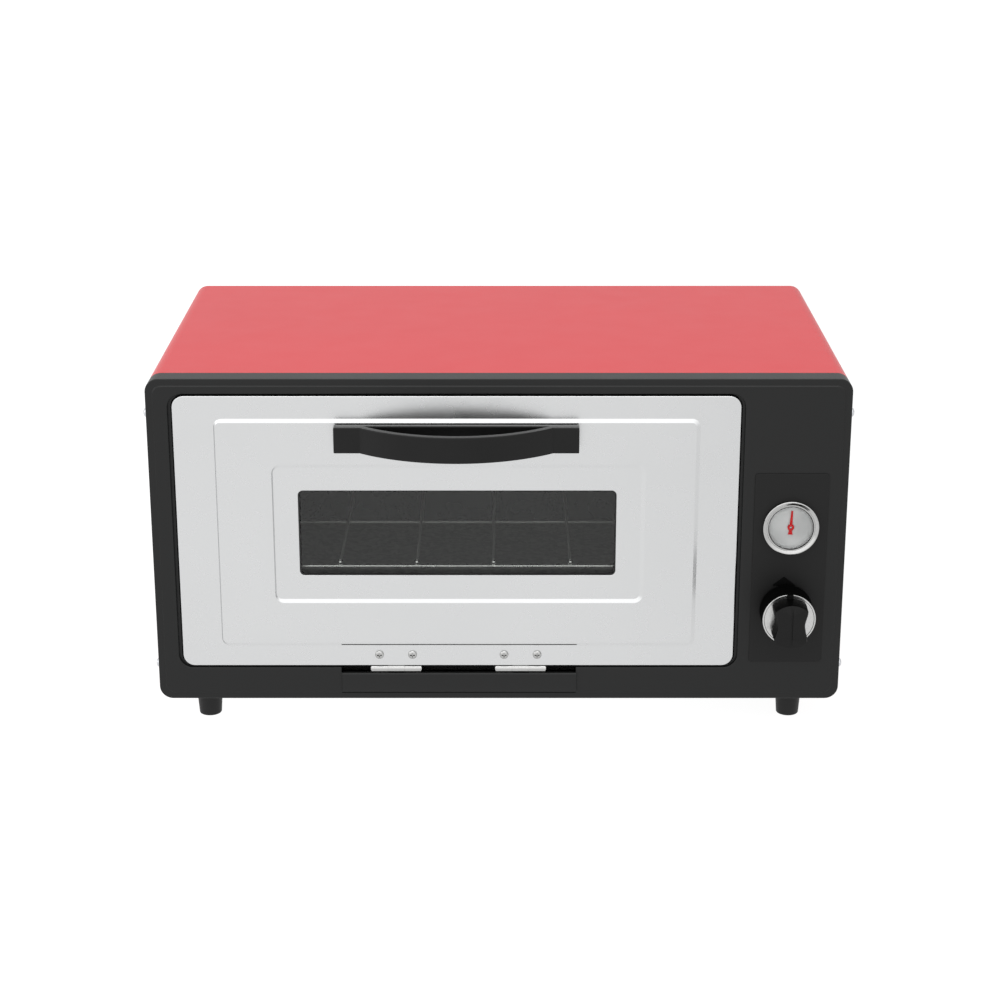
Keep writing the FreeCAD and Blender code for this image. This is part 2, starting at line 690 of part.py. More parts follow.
def rack_wires():
    """Six wires with turned-up tips on top of the loop, and one cross wire below them."""
    wire_z = RACK_Z + RACK_ROD_R + WIRE_R
    wires = []
    for k in range(WIRE_COUNT):
        x = CAVITY_X + (k - (WIRE_COUNT - 1) / 2) * WIRE_PITCH
        run = ((x, RACK_FRONT, wire_z + WIRE_TIP), (x, RACK_FRONT, wire_z), (x, RACK_BACK + 1.5, wire_z))
        wires.append(bent_rod(run, 1.6, WIRE_R))
    reach = RACK_HALF - RACK_ROD_R - 0.02
    cross_z = wire_z - 2 * WIRE_R
    ends = [(CAVITY_X + side * reach, CROSS_WIRE_Y, cross_z) for side in (-1, 1)]
    wires.append(rod(WIRE_R, *ends))
    return group(wires)


def insulation_slabs():
    """Ceramic wool round the cavity: top, left, right and back."""
    x0, x1, z0, z1 = CAVITY
    y0, y1 = MOUTH_Y + MOUTH_T + 1.0, CAVITY_BACK + 1.0
    t = CAVITY_T + 0.2
    thick = 18.0
    right = box(x1 + t, x1 + t + 14.0, y0, y1 - 1, z0, z1)
    right = cut(right, [
        rod(BURNER_R + 1.5, (x1, BURNER_Y, BURNER_Z), (x1 + 30, BURNER_Y, BURNER_Z)),
        rod(3.0, (x1, BULB_Y, BULB_Z), (x1 + 30, BULB_Y, BULB_Z)),
    ])
    top = box(x0 - t, x1 + t, y0, y1, z1 + t, z1 + t + thick)
    catch_x = (DOOR_X0 + DOOR_X1) / 2
    top = top.cut(box(catch_x - 24, catch_x + 24, y0 - 1, DOOR_D + 14, z1, z1 + 14))
    return {
        "top_insulation": top,
        "left_insulation": box(x0 - t - thick, x0 - t, y0, y1, z0, z1),
        "right_insulation": right,
        "back_insulation": box(x0, x1, y1, y1 + thick, z0, z1),
    }


# ---------------------------------------------------------------- burner and gas line


def burner_tube():
    """Straight tube burner with two rows of flame ports, closed at its far end."""
    x0, x1 = -225.0, BURNER_MOUTH_X
    tube = rod(BURNER_R, (x0, BURNER_Y, BURNER_Z), (x1, BURNER_Y, BURNER_Z))
    inside = rod(BURNER_R - 1.2, (x0 + 1.2, BURNER_Y, BURNER_Z), (x1 + 1, BURNER_Y, BURNER_Z))
    ports = []
    for k in range(24):
        x = x0 + 20.0 + k * 15.5
        for lean in (-35, 35):
            angle = math.radians(lean)
            tip = (x, BURNER_Y + 20 * math.sin(angle), BURNER_Z + 20 * math.cos(angle))
            ports.append(rod(1.3, (x, BURNER_Y, BURNER_Z), tip))
    return cut(tube, [inside] + ports)


def burner_bracket():
    """Open saddle that holds the burner's closed end above the cavity floor."""
    web = box(-214.0, -212.8, BURNER_Y - 20, BURNER_Y + 20, CAVITY[2], BURNER_Z)
    flange = box(-214.0, -198.0, BURNER_Y - 20, BURNER_Y + 20, CAVITY[2], CAVITY[2] + 1.2)
    hole = rod(BURNER_R + 0.1, (-230, BURNER_Y, BURNER_Z), (-190, BURNER_Y, BURNER_Z))
    return fuse([web, flange]).cut(hole)


def gas_injector():
    """Brass jet that blows into the burner's open end."""
    x = BURNER_MOUTH_X + 2
    tip = rod(3.0, (x, BURNER_Y, BURNER_Z), (x + 8, BURNER_Y, BURNER_Z))
    body = hexagon(7.0, (x + 8, BURNER_Y, BURNER_Z), (1, 0, 0), 10.0)
    orifice = rod(0.5, (x - 1, BURNER_Y, BURNER_Z), (x + 7, BURNER_Y, BURNER_Z))
    return fuse([tip, body]).cut(orifice)


def gas_valve():
    """Brass plug valve with a neck that takes the spindle and its spring."""
    x, z = KNOB_X, KNOB_Z
    body = box(x - 12, x + 12, VALVE_FRONT, VALVE_BACK, z - 12, z + 12)
    neck = rod_y(7.0, x, z, SPRING_SEAT, VALVE_FRONT + 1)
    outlet = rod(5.0, (x - 18, 45.0, z), (x - 11, 45.0, z))
    inlet = rod_y(6.0, x, z, VALVE_BACK - 1, VALVE_BACK + 6)
    bore = rod_y(SPINDLE_R + 0.05, x, z, SPRING_SEAT - 1, 38.0)
    return fuse([body, neck, outlet, inlet]).cut(bore)


def valve_bracket():
    """U-shaped bracket that ties the valve to the back of the frame's face."""
    x, z = KNOB_X, KNOB_Z
    y0 = VALVE_FRONT - 1.5
    web = box(x - 24, x + 24, y0, VALVE_FRONT, z - 16, z + 16)
    legs = [box(a, a + 1.5, FRAME_T, VALVE_FRONT, z - 16, z + 16) for a in (x - 24, x + 22.5)]
    return fuse([web] + legs).cut(rod_y(7.05, x, z, 0, 30))


def gas_inlet_nipple():
    """Threaded gas connection that stands out of the back panel."""
    x, z = INLET_X, INLET_Z
    y_end = BODY_D + INLET_REACH
    thread = rod_y(INLET_THREAD_R, x, z, BODY_D - 14, y_end)
    collar = hexagon(10.5, (x, BODY_D, z), (0, 1, 0), 3.0)
    nut = hexagon(10.5, (x, BODY_D - 6.2, z), (0, 1, 0), 5.0)
    tail = rod_y(5.5, x, z, BODY_D - 20, BODY_D - 14)
    bore = rod_y(4.0, x, z, BODY_D - 10, y_end + 1)
    return fuse([thread, collar, nut, tail]).cut(bore)


def gas_supply_pipe():
    """Pipe from the nipple to the valve's inlet."""
    start = (INLET_X, BODY_D - 20, INLET_Z)
    end = (KNOB_X, VALVE_BACK + 6, KNOB_Z)
    points = (start, (INLET_X, 130.0, INLET_Z), (KNOB_X, 95.0, KNOB_Z), end)
    return bent_rod(points, 14.0, 4.0)


def valve_outlet_pipe():
    """Pipe from the valve's outlet to the injector."""
    start = (KNOB_X - 18, 45.0, KNOB_Z)
    end = (BURNER_MOUTH_X + 20, BURNER_Y, BURNER_Z)
    points = (start, (KNOB_X - 36, 45.0, KNOB_Z), (KNOB_X - 36, BURNER_Y, BURNER_Z), end)
    return bent_rod(points, 7.0, 3.0)


# ---------------------------------------------------------------- thermometer


def thermometer_case():
    """Round cup behind the panel, with the movement's boss inside."""
    x, z = CONTROL_X, GAUGE_Z
    cup = rod_y(GAUGE_CASE_R, x, z, -3.0, 18.0).cut(rod_y(GAUGE_CASE_R - 0.8, x, z, -4.0, 17.0))
    boss = rod_y(6.0, x, z, -1.0, 17.5)
    stem = rod_y(4.0, x, z, 17.5, 24.0)
    return fuse([cup, boss, stem]).cut(rod_y(0.75, x, z, -2.0, 6.0))


def thermometer_dial():
    """Plain dial plate."""
    x, z = CONTROL_X, GAUGE_Z
    return rod_y(GAUGE_CASE_R - 0.9, x, z, -1.5, -1.0).cut(rod_y(0.9, x, z, -3, 3))


def thermometer_needle():
    """Tapered pointer with a short flared tail, on its staff."""
    outline = (
        (-1.3, 0), (-0.8, 15.5), (0.8, 15.5), (1.3, 0),
        (1.2, -2.5), (2.2, -6.8), (-2.2, -6.8), (-1.2, -2.5),
    )
    points = [V(x, -2.6, z) for x, z in outline]
    blade = Part.Face(Part.makePolygon(points + [points[0]])).extrude(V(0, 0.4, 0))
    hub = rod_y(3.0, 0, 0, -2.8, -2.1)
    staff = rod_y(0.7, 0, 0, -2.9, 5.0)
    needle = fuse([blade, hub, staff])
    needle.rotate(V(0, 0, 0), V(0, 1, 0), NEEDLE_LEAN)
    needle.translate(V(CONTROL_X, 0, GAUGE_Z))
    return needle


def thermometer_lens():
    """Flat glass over the dial."""
    return rod_y(GAUGE_CASE_R - 0.1, CONTROL_X, GAUGE_Z, -4.4, -3.2)


def thermometer_bezel():
    """Bright ring that holds the lens and covers the panel hole."""
    bore = GAUGE_CASE_R + 0.1
    lip = GAUGE_CASE_R - 0.9
    profile = (
        (bore, -CONTROL_PLATE_T), (GAUGE_R, -CONTROL_PLATE_T), (GAUGE_R, -4.4),
        (GAUGE_R - 0.5, -5.3), (GAUGE_R - 1.4, -5.8), (GAUGE_R - 2.4, -6.0),
        (lip + 0.5, -5.6), (lip, -5.0), (lip, -4.45), (bore, -4.45),
    )
    return turned(profile, CONTROL_X, GAUGE_Z)


def thermometer_clip():
    """Spring bridge behind the panel that pulls the case against it."""
    x, z = CONTROL_X, GAUGE_Z
    web = box(x - 28, x + 28, 18.0, 19.0, z - 5, z + 5)
    legs = [box(a, a + 1.0, FRAME_T, 19.0, z - 5, z + 5) for a in (x - 28, x + 27)]
    return fuse([web] + legs).cut(rod_y(4.05, x, z, 10, 30))


def capillary_tube():
    """Thin tube from the thermometer to the sensor bulb in the cavity."""
    points = (
        (CONTROL_X, 24.0, GAUGE_Z), (CONTROL_X, 60.0, GAUGE_Z), (230.0, 120.0, BULB_Z),
        (230.0, BULB_Y, BULB_Z), (BULB_END_X, BULB_Y, BULB_Z),
    )
    return bent_rod(points, 12.0, 1.2)


def sensor_bulb():
    """Liquid-filled bulb along the back of the cavity."""
    bulb = rod(3.2, (BULB_END_X - 80, BULB_Y, BULB_Z), (BULB_END_X, BULB_Y, BULB_Z))
    return bulb.makeFillet(1.2, [e for e in bulb.Edges if e.BoundBox.XLength < 1e-6])


# ---------------------------------------------------------------- control knob


def control_plate():
    """Satin plate in front of the frame, behind the knob and the thermometer."""
    plate = slab(CONTROL_PLATE, -CONTROL_PLATE_T, 0.0, 3.0)
    return cut(plate, [
        rod_y(GAUGE_CASE_R + 0.6, CONTROL_X, GAUGE_Z, -5, 5),
        rod_y(10.0, KNOB_X, KNOB_Z, -5, 5),
    ])


def knob_mark():
    """Small black arrowhead on the plate that the knob's rib points at when off."""
    points = [V(x, -CONTROL_PLATE_T - MARK_T, z) for x, z in MARK]
    return Part.Face(Part.makePolygon(points + [points[0]])).extrude(V(0, MARK_T, 0))


def grip_outline(half_end, half_waist, y):
    """Outline of the knob's grip bar: rounded ends and hollow sides."""
    z = math.sqrt(GRIP_R ** 2 - half_end ** 2)
    cx, cz = KNOB_X, KNOB_Z
    right = [V(cx + half_end, y, cz + z), V(cx + half_waist, y, cz), V(cx + half_end, y, cz - z)]
    left = [V(cx - half_end, y, cz - z), V(cx - half_waist, y, cz), V(cx - half_end, y, cz + z)]
    top = V(cx, y, cz + GRIP_R)
    bottom = V(cx, y, cz - GRIP_R)
    edges = [
        Part.Arc(left[2], top, right[0]).toShape(),
        Part.Arc(*right).toShape(),
        Part.Arc(right[2], bottom, left[0]).toShape(),
        Part.Arc(*left).toShape(),
    ]
    return Part.Wire(edges)


def pointer_rib(clearance):
    """Black rib that runs from the grip to the knob's rim at twelve o'clock."""
    half = 3.0 + clearance
    front = KNOB_FACE - KNOB_DISC_T - 0.3
    return box(KNOB_X - half, KNOB_X + half, front, KNOB_FACE, KNOB_Z + 18, KNOB_Z + KNOB_R - 0.15)


def control_knob():
    """Black knob: a hollow skirt, a hub with a D bore and a waisted grip bar."""
    x, z = KNOB_X, KNOB_Z
    skirt = rod_y(KNOB_R, x, z, KNOB_FACE, KNOB_REAR)
    skirt = skirt.cut(rod_y(KNOB_R - 2.2, x, z, KNOB_REAR - 12, KNOB_REAR + 1))
    hub = rod_y(6.5, x, z, KNOB_FACE + 1, COLLAR_Y - 0.05)
    base = grip_outline(15.2, 12.7, KNOB_FACE)
    shoulder = grip_outline(13.9, 11.5, KNOB_FRONT + 3.0)
    crest = grip_outline(12.0, 9.6, KNOB_FRONT)
    grip = fuse([Part.makeLoft([base, shoulder], True, True), Part.makeLoft([shoulder, crest], True, True)])
    body = fuse([skirt, hub, grip, pointer_rib(0.0)])
    return cut(body, [
        spindle_bar(SPINDLE_R + 0.02, -19.9, KNOB_REAR + 0.1),
        rod_y(SPINDLE_R + 0.02, x, z, KNOB_REAR, COLLAR_Y),
    ])


def knob_ring():
    """Silver disc round the grip, open where the pointer rib passes."""
    disc = rod_y(KNOB_R - 0.1, KNOB_X, KNOB_Z, KNOB_FACE - KNOB_DISC_T, KNOB_FACE)
    outlines = [grip_outline(15.3, 12.8, y) for y in (KNOB_FACE + 1, KNOB_FACE - 4)]
    grip = Part.makeLoft(outlines, True, True)
    rib = pointer_rib(0.05)
    rib = rib.fuse(rib.translated(V(0, 0, 3)))
    return cut(disc, [grip, rib])


def spindle_bar(radius, y0, y1):
    """A round bar with a flat, so that the knob turns it."""
    bar = rod_y(radius, KNOB_X, KNOB_Z, y0, y1)
    flat = box(KNOB_X - 9, KNOB_X + 9, y0 - 1, y1 + 1, KNOB_Z + radius - 0.9, KNOB_Z + 9)
    return bar.cut(flat)


def valve_spindle():
    """Spindle that the knob pushes in and turns."""
    shaft = rod_y(SPINDLE_R, KNOB_X, KNOB_Z, KNOB_REAR, 33.0)
    return fuse([shaft, spindle_bar(SPINDLE_R, -19.8, KNOB_REAR)])


def spring_collar():
    """Washer round the spindle that the knob's push carries onto the spring."""
    ring = rod_y(6.6, KNOB_X, KNOB_Z, COLLAR_Y, COLLAR_Y + 1.2)
    return ring.cut(rod_y(SPINDLE_R + 0.05, KNOB_X, KNOB_Z, COLLAR_Y - 1, COLLAR_Y + 3))


def spindle_spring():
    """Coil spring between the valve's neck and the collar."""
    wire_r, coil_r = 0.5, 4.8
    low, high = COLLAR_Y + 1.2 + wire_r, SPRING_SEAT - wire_r
    helix = Part.makeHelix((high - low) / 4, high - low, coil_r)
    section = Part.Wire(Part.makeCircle(wire_r, V(coil_r, 0, 0), V(0, 1, 0)))
    spring = helix.makePipeShell([section], True, True)
    spring.rotate(V(0, 0, 0), V(1, 0, 0), -90)
    spring.translate(V(KNOB_X, low, KNOB_Z))
    return spring


# ---------------------------------------------------------------- write the parts


def all_parts():
    """Every node's name and shape, in the drawing frame."""
    parts = {
        "outer_wrapper": outer_wrapper(),
        "front_frame": front_frame(),
        "base_panel": base_panel(),
        "back_panel": back_panel(),
        "back_panel_screws": back_panel_screws(),
        "side_screws": side_screws(),
        "foot_screws": foot_screws(),
        "door_outer_panel": door_outer_panel(),
        "door_inner_panel": door_inner_panel(),
        "window_gasket": window_gasket(),
        "window_glass": window_glass(),
        "glass_retainers": glass_retainers(),
        "door_hinge_screws": door_hinge_screws(),
        "door_handle": door_handle(),
        "handle_screws": handle_screws(),
        "hinge_pins": hinge_pins(),
        "hinge_strip": hinge_strip(),
        "hinge_strip_screws": hinge_strip_screws(),
        "magnet_catch": magnet_catch(),
        "cavity_liner": cavity_liner(),
        "flame_deflector": flame_deflector(),
        "left_rack_runner": rack_runner(-1),
        "right_rack_runner": rack_runner(1),
        "rack_frame": rack_frame(),
        "rack_wires": rack_wires(),
        "burner_tube": burner_tube(),
        "burner_bracket": burner_bracket(),
        "gas_injector": gas_injector(),
        "gas_valve": gas_valve(),
        "valve_bracket": valve_bracket(),
        "gas_inlet_nipple": gas_inlet_nipple(),
        "gas_supply_pipe": gas_supply_pipe(),
        "valve_outlet_pipe": valve_outlet_pipe(),
        "thermometer_case": thermometer_case(),
        "thermometer_dial": thermometer_dial(),
        "thermometer_needle": thermometer_needle(),
        "thermometer_lens": thermometer_lens(),
        "thermometer_bezel": thermometer_bezel(),
        "thermometer_clip": thermometer_clip(),
        "capillary_tube": capillary_tube(),
        "sensor_bulb": sensor_bulb(),
        "control_plate": control_plate(),
        "knob_mark": knob_mark(),
        "control_knob": control_knob(),
        "knob_ring": knob_ring(),
        "valve_spindle": valve_spindle(),
        "spring_collar": spring_collar(),
        "spindle_spring": spindle_spring(),
    }
    parts.update(insulation_slabs())
    for end, y in zip(("front", "rear"), FOOT_Y):
        for side, x in (("left", -FOOT_X), ("right", FOOT_X)):
            parts[f"{end}_{side}_foot"] = foot(x, y)
    for side, x in HINGE_X.items():
        parts[f"{side}_hinge_frame_leaf"] = hinge_frame_leaf(x)
        parts[f"{side}_hinge_door_leaf"] = hinge_door_leaf(x)
    return parts


os.makedirs("parts", exist_ok=True)
for name, shape in all_parts().items():
    shape.translate(V(0, FACE_Y, 0))
    shape.exportStep(f"parts/{name}.step")
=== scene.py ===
import math
from collections import namedtuple

import bmesh
import bpy
from mathutils import Matrix, Vector


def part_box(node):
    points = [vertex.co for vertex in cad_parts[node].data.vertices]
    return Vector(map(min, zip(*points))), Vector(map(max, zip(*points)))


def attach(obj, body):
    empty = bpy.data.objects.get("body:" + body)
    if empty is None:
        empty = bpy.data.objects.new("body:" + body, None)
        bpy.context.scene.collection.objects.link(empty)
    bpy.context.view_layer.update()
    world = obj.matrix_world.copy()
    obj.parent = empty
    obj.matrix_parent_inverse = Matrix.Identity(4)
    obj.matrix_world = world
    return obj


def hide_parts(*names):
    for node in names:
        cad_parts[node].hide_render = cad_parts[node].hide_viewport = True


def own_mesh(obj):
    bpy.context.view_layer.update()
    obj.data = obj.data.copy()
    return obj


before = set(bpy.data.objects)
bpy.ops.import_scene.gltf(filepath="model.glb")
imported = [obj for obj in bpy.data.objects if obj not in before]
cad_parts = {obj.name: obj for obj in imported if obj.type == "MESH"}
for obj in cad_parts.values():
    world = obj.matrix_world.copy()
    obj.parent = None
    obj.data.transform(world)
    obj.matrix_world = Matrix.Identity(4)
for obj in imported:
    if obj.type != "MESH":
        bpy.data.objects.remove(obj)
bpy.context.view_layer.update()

# Shapes are drawn in millimetres, with depth y measured from the front frame's face.
MM = 0.001
CUT_Y = -5.0  # where cutters start, in front of every flat face
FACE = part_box("front_frame")[0].y
TO_FRAME = Matrix.Translation((0, FACE, 0)) @ Matrix.Scale(MM, 4)

CORNER_STEPS = 10
BEND_STEPS = 4
TURN_STEPS = 96

Span = namedtuple("Span", "x0 x1 y0 y1 z0 z1")


def span(node):
    """A CAD node's box, in millimetres from the front frame's face."""
    low, high = (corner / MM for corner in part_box(node))
    face = FACE / MM
    return Span(low.x, high.x, low.y - face, high.y - face, low.z, high.z)


def middle(node):
    """The (x, z) middle of a CAD node's box."""
    s = span(node)
    return (s.x0 + s.x1) / 2, (s.z0 + s.z1) / 2


# ---------------------------------------------------------------- shader nodes


def new_material(name):
    """An empty Principled material: (material, node tree, shader)."""
    mat = bpy.data.materials.new(name)
    mat.use_nodes = True
    tree = mat.node_tree
    tree.nodes.clear()
    output = tree.nodes.new("ShaderNodeOutputMaterial")
    shader = tree.nodes.new("ShaderNodeBsdfPrincipled")
    tree.links.new(shader.outputs["BSDF"], output.inputs["Surface"])
    return mat, tree, shader


def noise(tree, scale, detail=2.0, stretch=(1, 1, 1)):
    """Noise in the object's own metres; scale is in cycles per metre before the stretch."""
    place = tree.nodes.new("ShaderNodeTexCoord")
    mapping = tree.nodes.new("ShaderNodeMapping")
    mapping.inputs["Scale"].default_value = [scale * s for s in stretch]
    texture = tree.nodes.new("ShaderNodeTexNoise")
    texture.inputs["Scale"].default_value = 1.0
    texture.inputs["Detail"].default_value = detail
    tree.links.new(place.outputs["Object"], mapping.inputs["Vector"])
    tree.links.new(mapping.outputs["Vector"], texture.inputs["Vector"])
    return texture.outputs[0]


def cells(tree, scale, output="Color"):
    """Voronoi cells in the object's own metres."""
    place = tree.nodes.new("ShaderNodeTexCoord")
    texture = tree.nodes.new("ShaderNodeTexVoronoi")
    texture.inputs["Scale"].default_value = scale
    tree.links.new(place.outputs["Object"], texture.inputs["Vector"])
    return texture.outputs[output]


def spread(tree, value, low, high, start=0.3, end=0.7):
    """A value from start to end, as low to high."""
    node = tree.nodes.new("ShaderNodeMapRange")
    tree.links.new(value, node.inputs["Value"])
    for name, number in (("From Min", start), ("From Max", end), ("To Min", low), ("To Max", high)):
        node.inputs[name].default_value = number
    return node.outputs["Result"]


def blend_colours(tree, value, dark, light):
    """A colour between two, by a value from 0.3 to 0.7."""
    node = tree.nodes.new("ShaderNodeMix")
    node.data_type = "RGBA"
    tree.links.new(spread(tree, value, 0.0, 1.0), node.inputs["Factor"])
    node.inputs["A"].default_value = (*dark, 1)
    node.inputs["B"].default_value = (*light, 1)
    return node.outputs["Result"]


def add_bump(tree, shader, height, strength, depth_mm):
    """Relief on the shader, on top of any it already has."""
    node = tree.nodes.new("ShaderNodeBump")
    node.inputs["Strength"].default_value = strength
    node.inputs["Distance"].default_value = depth_mm * MM
    tree.links.new(height, node.inputs["Height"])
    if shader.inputs["Normal"].links:
        tree.links.new(shader.inputs["Normal"].links[0].from_socket, node.inputs["Normal"])
    tree.links.new(node.outputs["Normal"], shader.inputs["Normal"])


def shaded(colour, share):
    """A colour made darker or lighter by a share."""
    return tuple(c * share for c in colour)


def vary_colour(tree, shader, value, colour, low, high):
    """Base colour that goes between two shares of a colour with a value."""
    blend = blend_colours(tree, value, shaded(colour, low), shaded(colour, high))
    tree.links.new(blend, shader.inputs["Base Color"])


def vary_gloss(tree, shader, value, low, high, **ends):
    """Roughness that goes from low to high with a value."""
    tree.links.new(spread(tree, value, low, high, **ends), shader.inputs["Roughness"])


# ---------------------------------------------------------------- finishes


def powder_coat(name, colour, gloss, specular):
    """Baked powder paint: a faint orange peel, fine grain and slightly uneven gloss."""
    mat, tree, shader = new_material(name)
    vary_colour(tree, shader, noise(tree, 9.0), colour, 0.985, 1.01)
    vary_gloss(tree, shader, noise(tree, 30.0, 4.0), gloss - 0.012, gloss + 0.012)
    shader.inputs["Specular IOR Level"].default_value = specular
    add_bump(tree, shader, noise(tree, 420.0, 1.0), 0.035, 0.10)
    add_bump(tree, shader, noise(tree, 2400.0, 1.0), 0.06, 0.03)
    return mat


def satin_stainless(name, colour, gloss):
    """Satin stainless sheet: a soft cloudiness, faintly uneven gloss and a slow ripple."""
    mat, tree, shader = new_material(name)
    shader.inputs["Metallic"].default_value = 1.0
    vary_colour(tree, shader, noise(tree, 7.0, 3.0), colour, 0.99, 1.01)
    vary_gloss(tree, shader, noise(tree, 45.0, 3.0), gloss - 0.02, gloss + 0.02)
    add_bump(tree, shader, noise(tree, 16.0, 1.0), 0.02, 0.10)
    return mat


def bare_metal(name, colour, gloss, grain=900.0, relief=0.10):
    """Plated, drawn or machined metal with a light grain."""
    mat, tree, shader = new_material(name)
    shader.inputs["Metallic"].default_value = 1.0
    speckle = noise(tree, grain, 3.0)
    vary_colour(tree, shader, speckle, colour, 0.9, 1.05)
    vary_gloss(tree, shader, noise(tree, grain / 6, 3.0), gloss * 0.75, gloss * 1.3)
    add_bump(tree, shader, speckle, relief, 0.02)
    return mat


def spangled_steel(name, colour, gloss, spangle):
    """Hot-dipped sheet with crystal spangles."""
    mat, tree, shader = new_material(name)
    shader.inputs["Metallic"].default_value = 1.0
    split = tree.nodes.new("ShaderNodeSeparateColor")
    tree.links.new(cells(tree, spangle), split.inputs["Color"])
    vary_colour(tree, shader, split.outputs["Red"], colour, 0.86, 1.08)
    vary_gloss(tree, shader, split.outputs["Green"], gloss - 0.08, gloss + 0.10, start=0, end=1)
    add_bump(tree, shader, noise(tree, 700.0, 3.0), 0.08, 0.03)
    return mat


def heated_steel(name):
    """Burner steel with straw and blue heat tints."""
    mat, tree, shader = new_material(name)
    shader.inputs["Metallic"].default_value = 1.0
    blue, straw = (0.20, 0.19, 0.24), (0.42, 0.33, 0.24)
    tint = blend_colours(tree, noise(tree, 22.0, 3.0, (0.4, 1, 1)), blue, straw)
    tree.links.new(tint, shader.inputs["Base Color"])
    vary_gloss(tree, shader, noise(tree, 260.0, 4.0), 0.35, 0.6)
    add_bump(tree, shader, noise(tree, 900.0, 3.0), 0.15, 0.04)
    return mat


def enamel(name, colour):
    """Vitreous enamel: deep black with small pale specks under a gloss."""
    mat, tree, shader = new_material(name)
    specks = cells(tree, 420.0, "Distance")
    dots = spread(tree, specks, 1.0, 0.0, 0.06, 0.12)
    node = tree.nodes.new("ShaderNodeMix")
    node.data_type = "RGBA"
    tree.links.new(dots, node.inputs["Factor"])
    node.inputs["A"].default_value = (*colour, 1)
    node.inputs["B"].default_value = (*shaded(colour, 1.35), 1)
    tree.links.new(node.outputs["Result"], shader.inputs["Base Color"])
    vary_gloss(tree, shader, noise(tree, 60.0, 3.0), 0.22, 0.34)
    add_bump(tree, shader, noise(tree, 260.0, 2.0), 0.10, 0.08)
    return mat


def moulded(name, colour, gloss, specular, relief=0.15):
    """Moulded plastic or rubber with a fine matt texture."""
    mat, tree, shader = new_material(name)
    grain = noise(tree, 1600.0, 2.0)
    vary_colour(tree, shader, noise(tree, 40.0, 3.0), colour, 0.85, 1.15)
    vary_gloss(tree, shader, grain, gloss - 0.05, gloss + 0.05)
    shader.inputs["Specular IOR Level"].default_value = specular
    add_bump(tree, shader, grain, relief, 0.04)
    return mat


def pane(name, tint, ior, haze):
    """Flat glass: the tint of what is behind it, with a clear reflection over it."""
    mat = bpy.data.materials.new(name)
    mat.use_nodes = True
    tree = mat.node_tree
    tree.nodes.clear()
    output = tree.nodes.new("ShaderNodeOutputMaterial")
    through = tree.nodes.new("ShaderNodeBsdfTransparent")
    gloss = tree.nodes.new("ShaderNodeBsdfGlossy")
    fresnel = tree.nodes.new("ShaderNodeFresnel")
    mix = tree.nodes.new("ShaderNodeMixShader")
    through.inputs["Color"].default_value = (*tint, 1)
    fresnel.inputs["IOR"].default_value = ior
    tree.links.new(spread(tree, noise(tree, 18.0, 3.0), haze * 0.6, haze * 1.5), gloss.inputs["Roughness"])
    tree.links.new(fresnel.outputs[0], mix.inputs[0])
    tree.links.new(through.outputs[0], mix.inputs[1])
    tree.links.new(gloss.outputs[0], mix.inputs[2])
    tree.links.new(mix.outputs[0], output.inputs["Surface"])
    return mat


def wool(name):
    """Ceramic fibre blanket: white, matt and fibrous."""
    mat, tree, shader = new_material(name)
    fibres = noise(tree, 500.0, 6.0, (1, 0.25, 0.25))
    shadow, fluff = (0.62, 0.60, 0.56), (0.86, 0.85, 0.81)
    tree.links.new(blend_colours(tree, fibres, shadow, fluff), shader.inputs["Base Color"])
    shader.inputs["Roughness"].default_value = 0.95
    shader.inputs["Specular IOR Level"].default_value = 0.1
    add_bump(tree, shader, fibres, 0.8, 0.6)
    return mat


RED = (0.485, 0.0088, 0.0158)
STEEL = (0.578, 0.583, 0.586)
FRAME_BLACK = (0.0067, 0.0069, 0.0069)
PLATE_BLACK = (0.0072, 0.0072, 0.0072)

